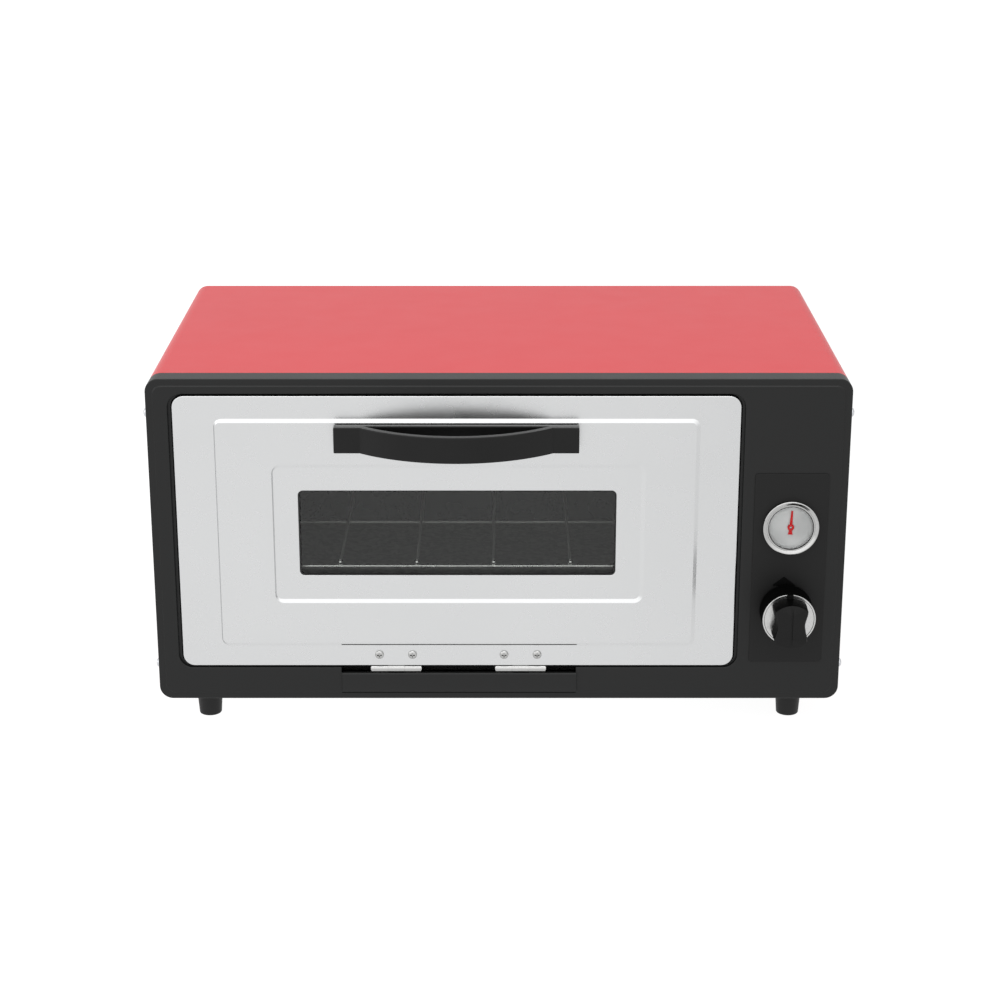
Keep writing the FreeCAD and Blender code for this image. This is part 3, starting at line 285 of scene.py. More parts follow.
FINISH = {
    "red_powder_coat": powder_coat("red_powder_coat_paint", RED, 0.33, 0.335),
    "black_powder_coat": powder_coat("black_powder_coat_paint", FRAME_BLACK, 0.40, 0.25),
    "satin_black": powder_coat("satin_black_paint", PLATE_BLACK, 0.46, 0.18),
    "stainless_steel": satin_stainless("stainless_satin", STEEL, 0.27),
    "aluminised_steel": spangled_steel("aluminised_sheet", (0.50, 0.50, 0.49), 0.42, 260.0),
    "galvanised_steel": spangled_steel("galvanised_sheet", (0.52, 0.54, 0.55), 0.36, 120.0),
    "zinc_plated_steel": bare_metal("zinc_plate", (0.60, 0.61, 0.63), 0.26),
    "polished_steel": bare_metal("polished_steel_bright", (0.42, 0.42, 0.415), 0.12, 900.0, 0.03),
    "chrome_trim": bare_metal("chrome_bright", (0.53, 0.53, 0.525), 0.20, 900.0, 0.05),
    "chromed_wire": bare_metal("chromed_wire_bright", (0.55, 0.56, 0.56), 0.16),
    "spring_steel": bare_metal("spring_wire", (0.36, 0.36, 0.37), 0.32),
    "burner_steel": heated_steel("burner_steel_heated"),
    "black_enamel": enamel("black_enamel_gloss", (0.012, 0.012, 0.012)),
    "ferrite": moulded("ferrite_block", (0.035, 0.034, 0.034), 0.6, 0.3, 0.4),
    "silicone_rubber": moulded("silicone_black", (0.010, 0.010, 0.010), 0.55, 0.3),
    "black_rubber": moulded("rubber_black", (0.006, 0.006, 0.006), 0.50, 0.26, 0.25),
    "black_phenolic": moulded("phenolic_black", (0.0030, 0.0030, 0.0030), 0.32, 0.22, 0.05),
    "window_glass": pane("window_glass_clear", (0.80, 0.81, 0.80), 1.42, 0.03),
    "gauge_glass": pane("gauge_glass_clear", (0.94, 0.95, 0.95), 1.20, 0.03),
    "dial_grey": moulded("dial_grey_paint", (0.560, 0.548, 0.543), 0.55, 0.3, 0.05),
    "needle_red": moulded("needle_red_paint", (0.56, 0.003, 0.005), 0.45, 0.2, 0.05),
    "brass": bare_metal("brass_turned", (0.62, 0.42, 0.15), 0.28),
    "copper": bare_metal("copper_drawn", (0.66, 0.33, 0.20), 0.26),
    "ceramic_wool": wool("ceramic_wool_blanket"),
}
# Finishes of single pieces that look a little different from the rest of their slot; some are painted light:
# a darker copy on the knob's side walls is painted shade, and brighter copies on the rack's rail and wire
# tips are painted highlights.
KNOB_FINISH = moulded("phenolic_polished", (0.0022, 0.0022, 0.0022), 0.30, 0.20, 0.03)
# The knob's side walls: darker and almost without reflection, as painted shade where they would reflect the
# disc.
KNOB_SIDES_SHADED = moulded("phenolic_matt_painted_shade", (0.0010, 0.0010, 0.0010), 0.55, 0.02, 0.10)
MARK_FINISH = moulded("mark_ink", (0.0012, 0.0012, 0.0012), 0.50, 0.06, 0.02)
WIRE_FINISH = bare_metal("chromed_wire_dulled", (0.62, 0.62, 0.61), 0.42)
WIRE_FINISH.node_tree.nodes["Principled BSDF"].inputs["Metallic"].default_value = 0.45
# The front rail takes a brighter copy of the wires' chrome: painted highlight.
RAIL_LIT_FINISH = bare_metal("chromed_rail_painted_highlight", (0.86, 0.86, 0.85), 0.30)
# The wire tips take the brightest copy of the chrome: painted highlight.
TIP_LIT_FINISH = bare_metal("chromed_tip_painted_highlight", (0.94, 0.94, 0.93), 0.12, 900.0, 0.02)
RING_FINISH = bare_metal("chrome_ring", (0.44, 0.44, 0.435), 0.13, 900.0, 0.03)


# ---------------------------------------------------------------- mesh helpers


def inset(rect, margin):
    """A rectangle (x0, x1, z0, z1) made smaller by margin on every side."""
    return (rect[0] + margin, rect[1] - margin, rect[2] + margin, rect[3] - margin)


def rounded_rect(rect, y, radius, low_radius=None):
    """A loop of points round a rounded rectangle that stands at depth y."""
    x0, x1, z0, z1 = rect
    low = radius if low_radius is None else low_radius
    corners = (
        (x1 - low, z0 + low, low, -90), (x1 - radius, z1 - radius, radius, 0),
        (x0 + radius, z1 - radius, radius, 90), (x0 + low, z0 + low, low, 180),
    )
    points = []
    for cx, cz, r, start in corners:
        for k in range(CORNER_STEPS + 1):
            angle = math.radians(start + 90 * k / CORNER_STEPS)
            points.append((cx + r * math.cos(angle), y, cz + r * math.sin(angle)))
    return points


def bent_path(points, radius, steps=BEND_STEPS):
    """A flat path whose corners between the two ends are arcs of one radius."""
    pts = [Vector(p) for p in points]
    path = [pts[0]]
    for before, corner, after in zip(pts, pts[1:], pts[2:]):
        a, b = (before - corner), (after - corner)
        half = a.angle(b) / 2
        back = min(radius / math.tan(half), 0.49 * a.length, 0.49 * b.length)
        start, end = corner + a.normalized() * back, corner + b.normalized() * back
        centre = corner + (a.normalized() + b.normalized()).normalized() * (back / math.cos(half))
        turn = math.pi - 2 * half
        for k in range(steps + 1):
            from_start = math.sin(turn * (1 - k / steps)) / math.sin(turn)
            from_end = math.sin(turn * k / steps) / math.sin(turn)
            path.append(centre + (start - centre) * from_start + (end - centre) * from_end)
    path.append(pts[-1])
    return [tuple(p) for p in path]


def add_loops(bm, loops, closed=False, caps=(False, False)):
    """Quads between neighbouring loops; closed joins the last to the first."""
    rings = [[bm.verts.new(p) for p in loop] for loop in loops]
    pairs = list(zip(rings, rings[1:]))
    if closed:
        pairs.append((rings[-1], rings[0]))
    count = len(rings[0])
    for a, b in pairs:
        for i in range(count):
            j = (i + 1) % count
            bm.faces.new((a[i], a[j], b[j], b[i]))
    if caps[0]:
        bm.faces.new(rings[0])
    if caps[1]:
        bm.faces.new(rings[-1])


def turned_loops(profile, x, z, steps=TURN_STEPS):
    """Loops round the Y line through (x, z), from (radius, y) points."""
    angles = [2 * math.pi * k / steps for k in range(steps)]
    return [[(x + r * math.cos(a), y, z + r * math.sin(a)) for a in angles] for r, y in profile]


def upright_loops(profile, x, y, steps=TURN_STEPS // 2):
    """Loops round the Z line through (x, y), from (radius, z) points."""
    angles = [2 * math.pi * k / steps for k in range(steps)]
    return [[(x + r * math.cos(a), y + r * math.sin(a), z) for a in angles] for r, z in profile]


def add_box(bm, x0, x1, y0, y1, z0, z1):
    """A block between two corners."""
    loops = [[(x0, y0, z), (x1, y0, z), (x1, y1, z), (x0, y1, z)] for z in (z0, z1)]
    add_loops(bm, loops, caps=(True, True))


def add_plate(bm, outline, y0, y1):
    """A flat plate between two depths, from (x, z) points round its edge."""
    add_loops(bm, [[(x, y, z) for x, z in outline] for y in (y0, y1)], caps=(True, True))


def arc_profile(centre_r, centre_y, radius, start, end, steps=10):
    """(radius, y) points on an arc; angles in degrees, 0 is outward and 90 is towards the front."""
    points = []
    for k in range(steps + 1):
        angle = math.radians(start + (end - start) * k / steps)
        points.append((centre_r + radius * math.cos(angle), centre_y - radius * math.sin(angle)))
    return points


def made_mesh(name, bm):
    """The drawn shape as a mesh in metres, in the row frame."""
    bmesh.ops.remove_doubles(bm, verts=bm.verts, dist=1e-4)
    bmesh.ops.recalc_face_normals(bm, faces=bm.faces)
    mesh = bpy.data.meshes.new(name)
    bm.to_mesh(mesh)
    bm.free()
    mesh.transform(TO_FRAME)
    return mesh


def carve(obj, cutter_bm, operation="DIFFERENCE"):
    """Takes the other shapes out of an object's mesh, or joins them to it."""
    cutter = bpy.data.objects.new("cutter", made_mesh("cutter", cutter_bm))
    bpy.context.scene.collection.objects.link(cutter)
    cut = obj.modifiers.new("cut", "BOOLEAN")
    cut.operation = operation
    cut.solver = "EXACT"
    cut.use_self = True
    cut.object = cutter
    graph = bpy.context.evaluated_depsgraph_get()
    carved = bpy.data.meshes.new_from_object(obj.evaluated_get(graph))
    obj.modifiers.clear()
    obj.data = carved
    bpy.data.objects.remove(cutter)


def smooth(obj, edge_mm=0.0, sharp=35, segments=3):
    """Rounded edges and even shading that keeps flat faces flat."""
    mesh = obj.data
    mesh.polygons.foreach_set("use_smooth", [True] * len(mesh.polygons))
    if edge_mm:
        bevel = obj.modifiers.new("edge", "BEVEL")
        bevel.width = edge_mm * MM
        bevel.segments = segments
        bevel.limit_method = "ANGLE"
        bevel.angle_limit = math.radians(sharp)
    else:
        mesh.set_sharp_from_angle(angle=math.radians(sharp))
    normals = obj.modifiers.new("normals", "WEIGHTED_NORMAL")
    normals.keep_sharp = True


def piece(
    name, bm, slot, body, replaced=(), joined=None, cutter=None, edge_mm=0.0, sharp=35, finish=None
):
    """A finished piece that rides on a body and takes a slot's finish."""
    obj = bpy.data.objects.new(name, made_mesh(name, bm))
    bpy.context.scene.collection.objects.link(obj)
    if joined is not None:
        carve(obj, joined, "UNION")
    if cutter is not None:
        carve(obj, cutter)
    obj.data.materials.clear()
    obj.data.materials.append(finish or FINISH[slot])
    smooth(obj, edge_mm, sharp)
    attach(obj, body)
    if replaced:
        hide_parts(*replaced)
    return obj


# ---------------------------------------------------------------- door

DOOR = span("door_outer_panel")
DOOR_RECT = (DOOR.x0, DOOR.x1, DOOR.z0, DOOR.z1)
DOOR_R = 10.5
SKIN_T = 1.0
SKIN_EDGE = 0.8
RISE = 1.6
SLOPE = 3.4
BAND = (DOOR.x0 + 35.9, DOOR.x1 - 35.4, DOOR.z0 + 19.5, DOOR.z1 - 20.6)
BAND_R = 7.5
RECESS = (DOOR.x0 + 86.8, DOOR.x1 - 86.3, DOOR.z0 + 64.9, DOOR.z1 - 65.7)
RECESS_R = 5.0
GASKET = span("window_gasket")
WINDOW = inset((GASKET.x0, GASKET.x1, GASKET.z0, GASKET.z1), 8.4)
WINDOW_R = 4.5
PRESS_R = 1.2
STEEP = 0.34
WINDOW_BEND = 0.35
STRIP = span("hinge_strip")
CREASE_Y = SKIN_T + 0.3
CREASE_Z = BAND[2] + 1.3
CREASE_HALF = 0.5
CREASE_FRONT = -3.0


def skin_profile():
    """(rectangle, margin, depth, radius) from the hem's back edge to the window's edge."""
    rows = []
    edge = bent_path(((0, DOOR.y1), (0, 0), (10, 0)), SKIN_EDGE, 6)[:-1]
    rows += [(DOOR_RECT, margin, y, DOOR_R) for margin, y in edge]
    rise = bent_path(((-3, 0), (0, 0), (SLOPE, -RISE), (SLOPE + 3, -RISE)), PRESS_R, 5)
    rows += [(BAND, margin, y, BAND_R) for margin, y in rise]
    fall = bent_path(((-SLOPE - 3, -RISE), (-SLOPE, -RISE), (0, 0), (3, 0)), PRESS_R, 5)
    rows += [(RECESS, margin, y, RECESS_R) for margin, y in fall]
    lip = bent_path(((-2, 0), (0, 0), (0, SKIN_T)), WINDOW_BEND, 3)
    rows += [(WINDOW, margin, y, WINDOW_R) for margin, y in lip[:-1]]
    return rows


def pressed(rect, margin):
    """A press's rectangle made smaller by margin, but by much less at its steep left side."""
    x0, x1, z0, z1 = inset(rect, margin)
    if rect in (BAND, RECESS):
        x0 = rect[0] + margin * STEEP
    return (x0, x1, z0, z1)


def build_door_skin():
    """Stainless skin: hem, border, raised band, recess, window edge and a crease under the band."""
    bm = bmesh.new()
    front = skin_profile()
    loops = [rounded_rect(pressed(rect, m), y, r - m) for rect, m, y, r in front]
    back = []
    for rect, margin, y, r in reversed(front):
        if rect is DOOR_RECT:
            continue
        back.append(rounded_rect(pressed(rect, margin), y + SKIN_T, r - margin))
    hem = ((SKIN_T + 1.0, SKIN_T), (SKIN_T, SKIN_T + 1.0), (SKIN_T, DOOR.y1))
    for margin, y in hem:
        back.append(rounded_rect(inset(DOOR_RECT, margin), y, DOOR_R - margin))
    add_loops(bm, loops + back, closed=True)
    crease = bmesh.new()
    low, high = CREASE_Z - CREASE_HALF, CREASE_Z + CREASE_HALF
    add_box(crease, STRIP.x0, STRIP.x1, CREASE_FRONT, CREASE_Y, low, high)
    return piece("door_skin", bm, "stainless_steel", "door", ("door_outer_panel",), cutter=crease)


# ---------------------------------------------------------------- front frame

FRAME = span("front_frame")
FRAME_RECT = (FRAME.x0, FRAME.x1, FRAME.z0, FRAME.z1)
FRAME_T = 1.2
FRAME_R = 12.0
FRAME_STEP = 0.8
FRAME_BORDER = 6.0
FRAME_FLAT = FRAME_BORDER + 2
FRAME_BEND = 0.9
CORNER_SHARE = 0.62
OPENING = (DOOR.x0 - 3.8, DOOR.x1 + 3.8, DOOR.z0 - 1.9, DOOR.z1 + 1.9)
OPENING_R = DOOR_R + 2
MOUTH = 16.0
LIP = (DOOR.x0 - 1.3, DOOR.x1 + 1.3, DOOR.z0 - 1.2, DOOR.z1 + 1.2)
LIP_Y = 3.0
NOTCH = (STRIP.x0 - 0.7, STRIP.x1 - 0.4, STRIP.z1, DOOR.z0 + 2)
SEAM_Z = FRAME.z0 + 6.2
SEAM_HALF = 0.6
CASE_HOLE_R = 22.1
SPINDLE_HOLE_R = 10.0


def add_bores(bm, y1, case, spindle):
    """Round cutters, down to depth y1, for the thermometer's case and the knob's spindle at (x, z)."""
    for (x, z), radius in ((case, CASE_HOLE_R), (spindle, SPINDLE_HOLE_R)):
        add_loops(bm, turned_loops(((radius, CUT_Y), (radius, y1)), x, z, 64), caps=(True, True))


def build_front_frame():
    """Black pressed surround: flange, stepped border, face, the return into the opening and its holes."""

    def face_loop(margin, y):
        return rounded_rect(inset(FRAME_RECT, margin), y, FRAME_R - margin * CORNER_SHARE)

    bm = bmesh.new()
    corners = (
        (0, FRAME.y1), (0, FRAME_STEP), (FRAME_BORDER, FRAME_STEP), (FRAME_BORDER + 0.8, 0), (FRAME_FLAT, 0),
    )
    loops = [face_loop(margin, y) for margin, y in bent_path(corners, FRAME_BEND, 4)]
    inward = bent_path(((-2.5, 0), (0, 0), (0, LIP_Y)), FRAME_BEND, 4)
    loops += [rounded_rect(inset(OPENING, m), y, OPENING_R - m) for m, y in inward]
    loops += [rounded_rect(LIP, y, DOOR_R + 1.0) for y in (LIP_Y, MOUTH)]
    back_y = FRAME_T + FRAME_STEP
    for y in (MOUTH, back_y):
        loops.append(rounded_rect(inset(OPENING, -FRAME_T), y, OPENING_R + FRAME_T))
    for margin, y in ((FRAME_FLAT, back_y), (FRAME_T, back_y), (FRAME_T, FRAME.y1)):
        loops.append(face_loop(margin, y))
    add_loops(bm, loops, closed=True)

    holes = bmesh.new()
    x0, x1, z0, z1 = NOTCH
    add_box(holes, x0, x1, CUT_Y, MOUTH + 1, z0, z1)
    add_box(holes, x0, x1, CUT_Y, FRAME_STEP + 0.8, SEAM_Z - SEAM_HALF, SEAM_Z + SEAM_HALF)
    add_bores(holes, 10, middle("thermometer_case"), middle("valve_spindle"))
    return piece("frame_surround", bm, "black_powder_coat", "cabinet", ("front_frame",), cutter=holes)


# ---------------------------------------------------------------- wrapper

WRAP = span("outer_wrapper")
WRAP_T = 1.0
WRAP_R = FRAME_R
WRAP_LIP = 22.0
WRAP_FRONT = FRAME.y1 + 0.2


def build_wrapper():
    """Red sheet folded over the top, down both sides and under the floor's edges."""
    bm = bmesh.new()
    half = WRAP.x1
    low, high = WRAP.z0, WRAP.z1

    def section(margin):
        """The sheet's outline across the oven at a distance inside its outer face."""
        x, bottom, top = half - margin, low + margin, high - margin
        lip = half - WRAP_LIP
        corners = ((-lip, bottom), (-x, bottom), (-x, top), (x, top), (x, bottom), (lip, bottom))
        path = [corners[0]]
        for before, corner, after in zip(corners, corners[1:], corners[2:]):
            path += bent_path((before, corner, after), WRAP_R - margin, 10)[1:-1]
        return path + [corners[-1]]

    outline = section(0.0) + section(WRAP_T)[::-1]
    add_loops(bm, [[(x, y, z) for x, z in outline] for y in (WRAP_FRONT, WRAP.y1)], caps=(True, True))
    inside = FRAME_T + 0.1
    tongue = section(inside) + section(inside + WRAP_T)[::-1]
    add_loops(bm, [[(x, y, z) for x, z in tongue] for y in (WRAP.y0, WRAP_FRONT + 0.5)], caps=(True, True))
    return piece("wrapper_sheet", bm, "red_powder_coat", "cabinet", ("outer_wrapper",), edge_mm=0.25)


# ---------------------------------------------------------------- handle

HANDLE = span("door_handle")
HANDLE_END_W = 23.0
HANDLE_END_Y = -16.0
HANDLE_STRIP_Y = -11.0
HANDLE_BAR = 7.0
HANDLE_CREVICE = 3.6
HANDLE_FOOT_MARGIN = 3.0
HANDLE_FOOT_Y = -9.0
BAR_STEPS = 48


def build_handle():
    """Moulded handle: a back strip, two end blocks and a bowed bar with a gap behind it."""
    bm = bmesh.new()
    centre = (HANDLE.x0 + HANDLE.x1) / 2
    half = (HANDLE.x1 - HANDLE.x0) / 2
    bow = half - HANDLE_END_W
    reach = -HANDLE.y0
    rise = reach + HANDLE_END_Y
    radius = (bow ** 2 + rise ** 2) / (2 * rise)
    axis_y = radius - reach
    gap = math.sqrt((radius - HANDLE_BAR) ** 2 - (axis_y - HANDLE_STRIP_Y) ** 2)

    def outer(x):
        return HANDLE_END_Y if abs(x) > bow else axis_y - math.sqrt(radius ** 2 - x ** 2)

    def inner(x):
        return HANDLE_STRIP_Y if abs(x) > gap else axis_y - math.sqrt((radius - HANDLE_BAR) ** 2 - x ** 2)

    bar = [gap * (2 * k / BAR_STEPS - 1) for k in range(BAR_STEPS + 1)]
    stations = [-half, -bow] + bar + [bow, half]
    rows = []
    for x in stations:
        depths = (HANDLE.y1 - HANDLE_CREVICE, HANDLE_STRIP_Y, inner(x), outer(x))
        rows.append([[bm.verts.new((centre + x, y, z)) for y in depths] for z in (HANDLE.z0, HANDLE.z1)])
    for left, right, x in zip(rows, rows[1:], stations):
        for level in (0, 1):
            for a, b in ((0, 1), (2, 3)):
                bm.faces.new((left[level][a], right[level][a], right[level][b], left[level][b]))
        walls = (0, 3) if not -gap <= x < gap else (0, 1, 2, 3)
        for k in walls:
            bm.faces.new((left[0][k], right[0][k], right[1][k], left[1][k]))
    for row in (rows[0], rows[-1]):
        for a, b in ((0, 1), (2, 3)):
            bm.faces.new((row[0][a], row[0][b], row[1][b], row[1][a]))
    foot = bmesh.new()
    x0, x1, z0, z1 = inset((HANDLE.x0, HANDLE.x1, HANDLE.z0, HANDLE.z1), HANDLE_FOOT_MARGIN)
    add_box(foot, x0, x1, HANDLE_FOOT_Y, HANDLE.y1, z0, z1)
    return piece("handle_body", bm, "black_phenolic", "door", ("door_handle",),
                 joined=foot, edge_mm=0.9, sharp=25)


# ---------------------------------------------------------------- screws and cover strip

HEAD_RIM = 0.22  # the upright rim's share of a head's height
DOME_STEPS = 8
DOME_FULLNESS = 0.7
HINGE_SCREWS = span("door_hinge_screws")
HINGE_LEAVES = ("left_hinge_door_leaf", "right_hinge_door_leaf")
SCREW_PITCH = 15.0
# (radius, length) of each kind's head and shank
HINGE_HEAD, HINGE_SHANK = (4.0, 2.4), (1.95, 6.8)
SIDE_HEAD, SIDE_SHANK = (4.0, 3.0), (2.0, 6.0)
BACK_HEAD, BACK_SHANK = (3.5, 2.2), (1.5, 7.0)


def add_moved(bm, loops, place):
    """Closed loops drawn at the origin, put in place."""
    add_loops(bm, [[tuple(place @ Vector(p)) for p in loop] for loop in loops], caps=(True, True))


def add_screw(bm, recess, place, head_r, head_h, shank_r, shank_len):
    """A domed cross-head screw; its head points to -Y before it is placed."""
    dome = [(head_r, 0), (head_r, -HEAD_RIM * head_h)]
    for k in range(1, DOME_STEPS + 1):
        angle = math.radians(90 * k / (DOME_STEPS + 0.5))
        height = HEAD_RIM + (1 - HEAD_RIM) * math.sin(angle)
        dome.append((head_r * math.cos(angle) ** DOME_FULLNESS, -head_h * height))
    add_moved(bm, turned_loops([(shank_r, shank_len), (shank_r, 0)] + dome, 0, 0, 32), place)
    arm, half, depth = 0.56 * head_r, 0.13 * head_r, 0.72 * head_h
    for wide, tall in ((arm, half), (half, arm)):
        loops = []
        for share, y in ((1.15, -head_h - 0.5), (0.55, -head_h + depth)):
            w, t = wide * share, tall * share
            loops.append([(-w, y, -t), (w, y, -t), (w, y, t), (-w, y, t)])
        add_moved(recess, loops, place)


def build_screws(name, node, slot, body, places, head, shank):
    """A set of equal screws."""
    bm, recess = bmesh.new(), bmesh.new()
    for place in places:
        add_screw(bm, recess, place, *head, *shank)
    return piece(name, bm, slot, body, (node,), cutter=recess, sharp=40)


def turned_about_z(degrees, x, y, z):
    """A place for a screw: turned about Z, then moved."""
    return Matrix.Translation((x, y, z)) @ Matrix.Rotation(math.radians(degrees), 4, "Z")


def build_all_screws():
    """Screws that can be seen: door hinges, flange sides and back panel."""
    z = (HINGE_SCREWS.z0 + HINGE_SCREWS.z1) / 2
    xs = [middle(leaf)[0] + side * SCREW_PITCH for leaf in HINGE_LEAVES for side in (-1, 1)]
    places = [turned_about_z(0, x, 0, z) for x in xs]
    build_screws("hinge_screws_domed", "door_hinge_screws", "polished_steel", "door",
                 places, HINGE_HEAD, HINGE_SHANK)

    sides = span("side_screws")
    y = (sides.y0 + sides.y1) / 2
    places = []
    for z in (sides.z0 + SIDE_HEAD[0], sides.z1 - SIDE_HEAD[0]):
        places += [turned_about_z(90, FRAME.x1, y, z), turned_about_z(-90, FRAME.x0, y, z)]
    build_screws("side_screws_domed", "side_screws", "zinc_plated_steel", "cabinet",
                 places, SIDE_HEAD, SIDE_SHANK)

    back = span("back_panel_screws")
    xs = (back.x0 + BACK_HEAD[0], 0.0, back.x1 - BACK_HEAD[0])
    zs = (back.z0 + BACK_HEAD[0], back.z1 - BACK_HEAD[0])
    places = [turned_about_z(180, x, WRAP.y1, z) for x in xs for z in zs]
    places += [turned_about_z(180, x, WRAP.y1, sum(zs) / 2) for x in (xs[0], xs[2])]
    build_screws("back_screws_domed", "back_panel_screws", "zinc_plated_steel", "cabinet",
                 places, BACK_HEAD, BACK_SHANK)


STRIP_T = 1.8
STRIP_FOLD_Z = FRAME.z0 + 14.3
STRIP_LOW_Z = FRAME.z0 + 8.3
STRIP_CHAMFER = 1.0


def build_hinge_strip():
    """Folded cover strip: flat against the frame above, leaning out below."""
    bm = bmesh.new()
    y0 = STRIP.y0
    profile = (
        (0, STRIP.z1), (STRIP_CHAMFER - STRIP_T, STRIP.z1), (-STRIP_T, STRIP.z1 - STRIP_CHAMFER),
        (-STRIP_T, STRIP_FOLD_Z), (y0, STRIP_LOW_Z), (y0 + STRIP_T, STRIP_LOW_Z), (0, STRIP_FOLD_Z),
    )
    add_loops(bm, [[(x, y, z) for y, z in profile] for x in (STRIP.x0, STRIP.x1)], caps=(True, True))
    return piece("hinge_cover_strip", bm, "black_powder_coat", "cabinet", ("hinge_strip",),
                 edge_mm=0.35, sharp=30)


# ---------------------------------------------------------------- feet

FEET = ("front_left_foot", "front_right_foot", "rear_left_foot", "rear_right_foot")
FOOT_PROFILE = (
    (5.5, 8.0), (5.5, 0.5), (6.0, 0.0), (9.2, 0.0), (9.8, 0.15), (10.15, 0.6), (10.3, 1.2),
    (11.2, 14.0), (12.15, 26.0), (12.3, 27.2), (12.3, 29.0),
)


def build_feet():
    """Moulded rubber feet, softly rounded at the bottom, with a recess for the screw."""
    for node in FEET:
        s = span(node)
        bm = bmesh.new()
        x, y = (s.x0 + s.x1) / 2, (s.y0 + s.y1) / 2
        add_loops(bm, upright_loops(FOOT_PROFILE, x, y), caps=(True, True))
        piece(f"{node}_moulded", bm, "black_rubber", "cabinet", (node,), sharp=50)


# ---------------------------------------------------------------- thermometer

GAUGE_X, GAUGE_Z = middle("thermometer_bezel")
BEZEL = span("thermometer_bezel")
LENS = span("thermometer_lens")
RING_CREST = 0.9
GROOVE_Y = LENS.y0 - 0.1


def build_bezel():
    """Round-backed ring with a groove and a fine inner lip over the lens, and a black rubber ring inside it
    as painted shade.
    """
    outer = (BEZEL.x1 - BEZEL.x0) / 2
    bore = (LENS.x1 - LENS.x0) / 2 + 0.2
    profile = [(bore, BEZEL.y1), (outer, BEZEL.y1), (outer, BEZEL.y0 + 1.4)]
    profile += arc_profile(outer - RING_CREST, BEZEL.y0 + RING_CREST, RING_CREST, 0, 105, 8)
    profile += [
        (bore + 0.2, BEZEL.y0 + 1.1), (bore - 0.1, BEZEL.y0 + 1.5),
        (bore - 0.15, GROOVE_Y), (bore - 0.75, GROOVE_Y),
        (bore - 0.8, GROOVE_Y - 0.4), (bore - 1.2, GROOVE_Y - 0.35),
        (bore - 1.2, LENS.y0 - 0.05), (bore, LENS.y0 - 0.05),
    ]
    bm = bmesh.new()
    add_loops(bm, turned_loops(profile, GAUGE_X, GAUGE_Z, 128), closed=True)
    piece("thermometer_ring", bm, "chrome_trim", "cabinet", ("thermometer_bezel",),
          sharp=50, finish=RING_FINISH)

    # Painted shade: a black ring in the groove stands in for the shadow line between the bezel and the dial.
    shade_ring = bmesh.new()
    back, front = LENS.y0 - 0.02, LENS.y0 - 0.3
    ring = ((bore - 1.9, back), (bore - 1.85, front), (bore - 1.25, front), (bore - 1.2, back))
    add_loops(shade_ring, turned_loops(ring, GAUGE_X, GAUGE_Z, 128), closed=True)
    piece("thermometer_painted_shade_ring", shade_ring, "silicone_rubber", "cabinet", sharp=50)


def build_needle_pin():
    """Bright pin in the middle of the needle's hub."""
    front = span("thermometer_needle").y0
    profile = [(1.0, front + 0.3), (1.0, front - 0.1)]
    profile += arc_profile(0.5, front - 0.08, 0.24, 30, 90, 4)
    bm = bmesh.new()
    add_loops(bm, turned_loops(profile, GAUGE_X, GAUGE_Z, 32), caps=(True, True))
    return piece("needle_pin", bm, "polished_steel", "needle", sharp=50)


# ---------------------------------------------------------------- control plate and knob

PLATE = span("control_plate")
KNOB = span("control_knob")
DISC = span("knob_ring")
KNOB_X, KNOB_Z = middle("control_knob")
KNOB_R = (KNOB.x1 - KNOB.x0) / 2
KNOB_REAR = span("knob_mark").y1 - 4.2
GRIP_R = 20.0
GRIP_END = 15.2
GRIP_WAIST = 12.7
CREST_HALF = 11.0
RIB_HALF = 3.0
RIB_LOW = 17.0
SIDE_STEPS = 10


def build_control_plate():
    """Thin plate with eased edges and holes for the knob and the thermometer."""
    bm, holes = bmesh.new(), bmesh.new()
    rect = (PLATE.x0, PLATE.x1, PLATE.z0, PLATE.z1)
    edge = bent_path(((0, PLATE.y1), (0, PLATE.y0), (4, PLATE.y0)), 0.45, 4)[:-1]
    loops = [rounded_rect(inset(rect, margin), y, max(3.0 - margin, 0.2)) for margin, y in edge]
    add_loops(bm, loops, caps=(True, True))
    add_bores(holes, 5, (GAUGE_X, GAUGE_Z), (KNOB_X, KNOB_Z))
    return piece("control_fascia", bm, "satin_black", "cabinet", ("control_plate",), cutter=holes)


def grip_points(half_end, half_waist, margin=0.0):
    """(x, z) points round the grip: hollow sides and round ends."""
    end, waist, radius = half_end + margin, half_waist + margin, GRIP_R + margin
    z = math.sqrt(radius ** 2 - end ** 2)
    side = [(end - (end - waist) * math.cos(math.pi / 2 * (k / SIDE_STEPS)) ** 2, z * k / SIDE_STEPS)
            for k in range(-SIDE_STEPS, SIDE_STEPS + 1)]
    lean = math.atan2(z, end)
    cap = [(radius * math.cos(a), radius * math.sin(a))
           for a in (lean + (math.pi - 2 * lean) * k / SIDE_STEPS for k in range(1, SIDE_STEPS))]
    half = side + cap
    return [(KNOB_X + x, KNOB_Z + z) for x, z in half + [(-x, -z) for x, z in half]]


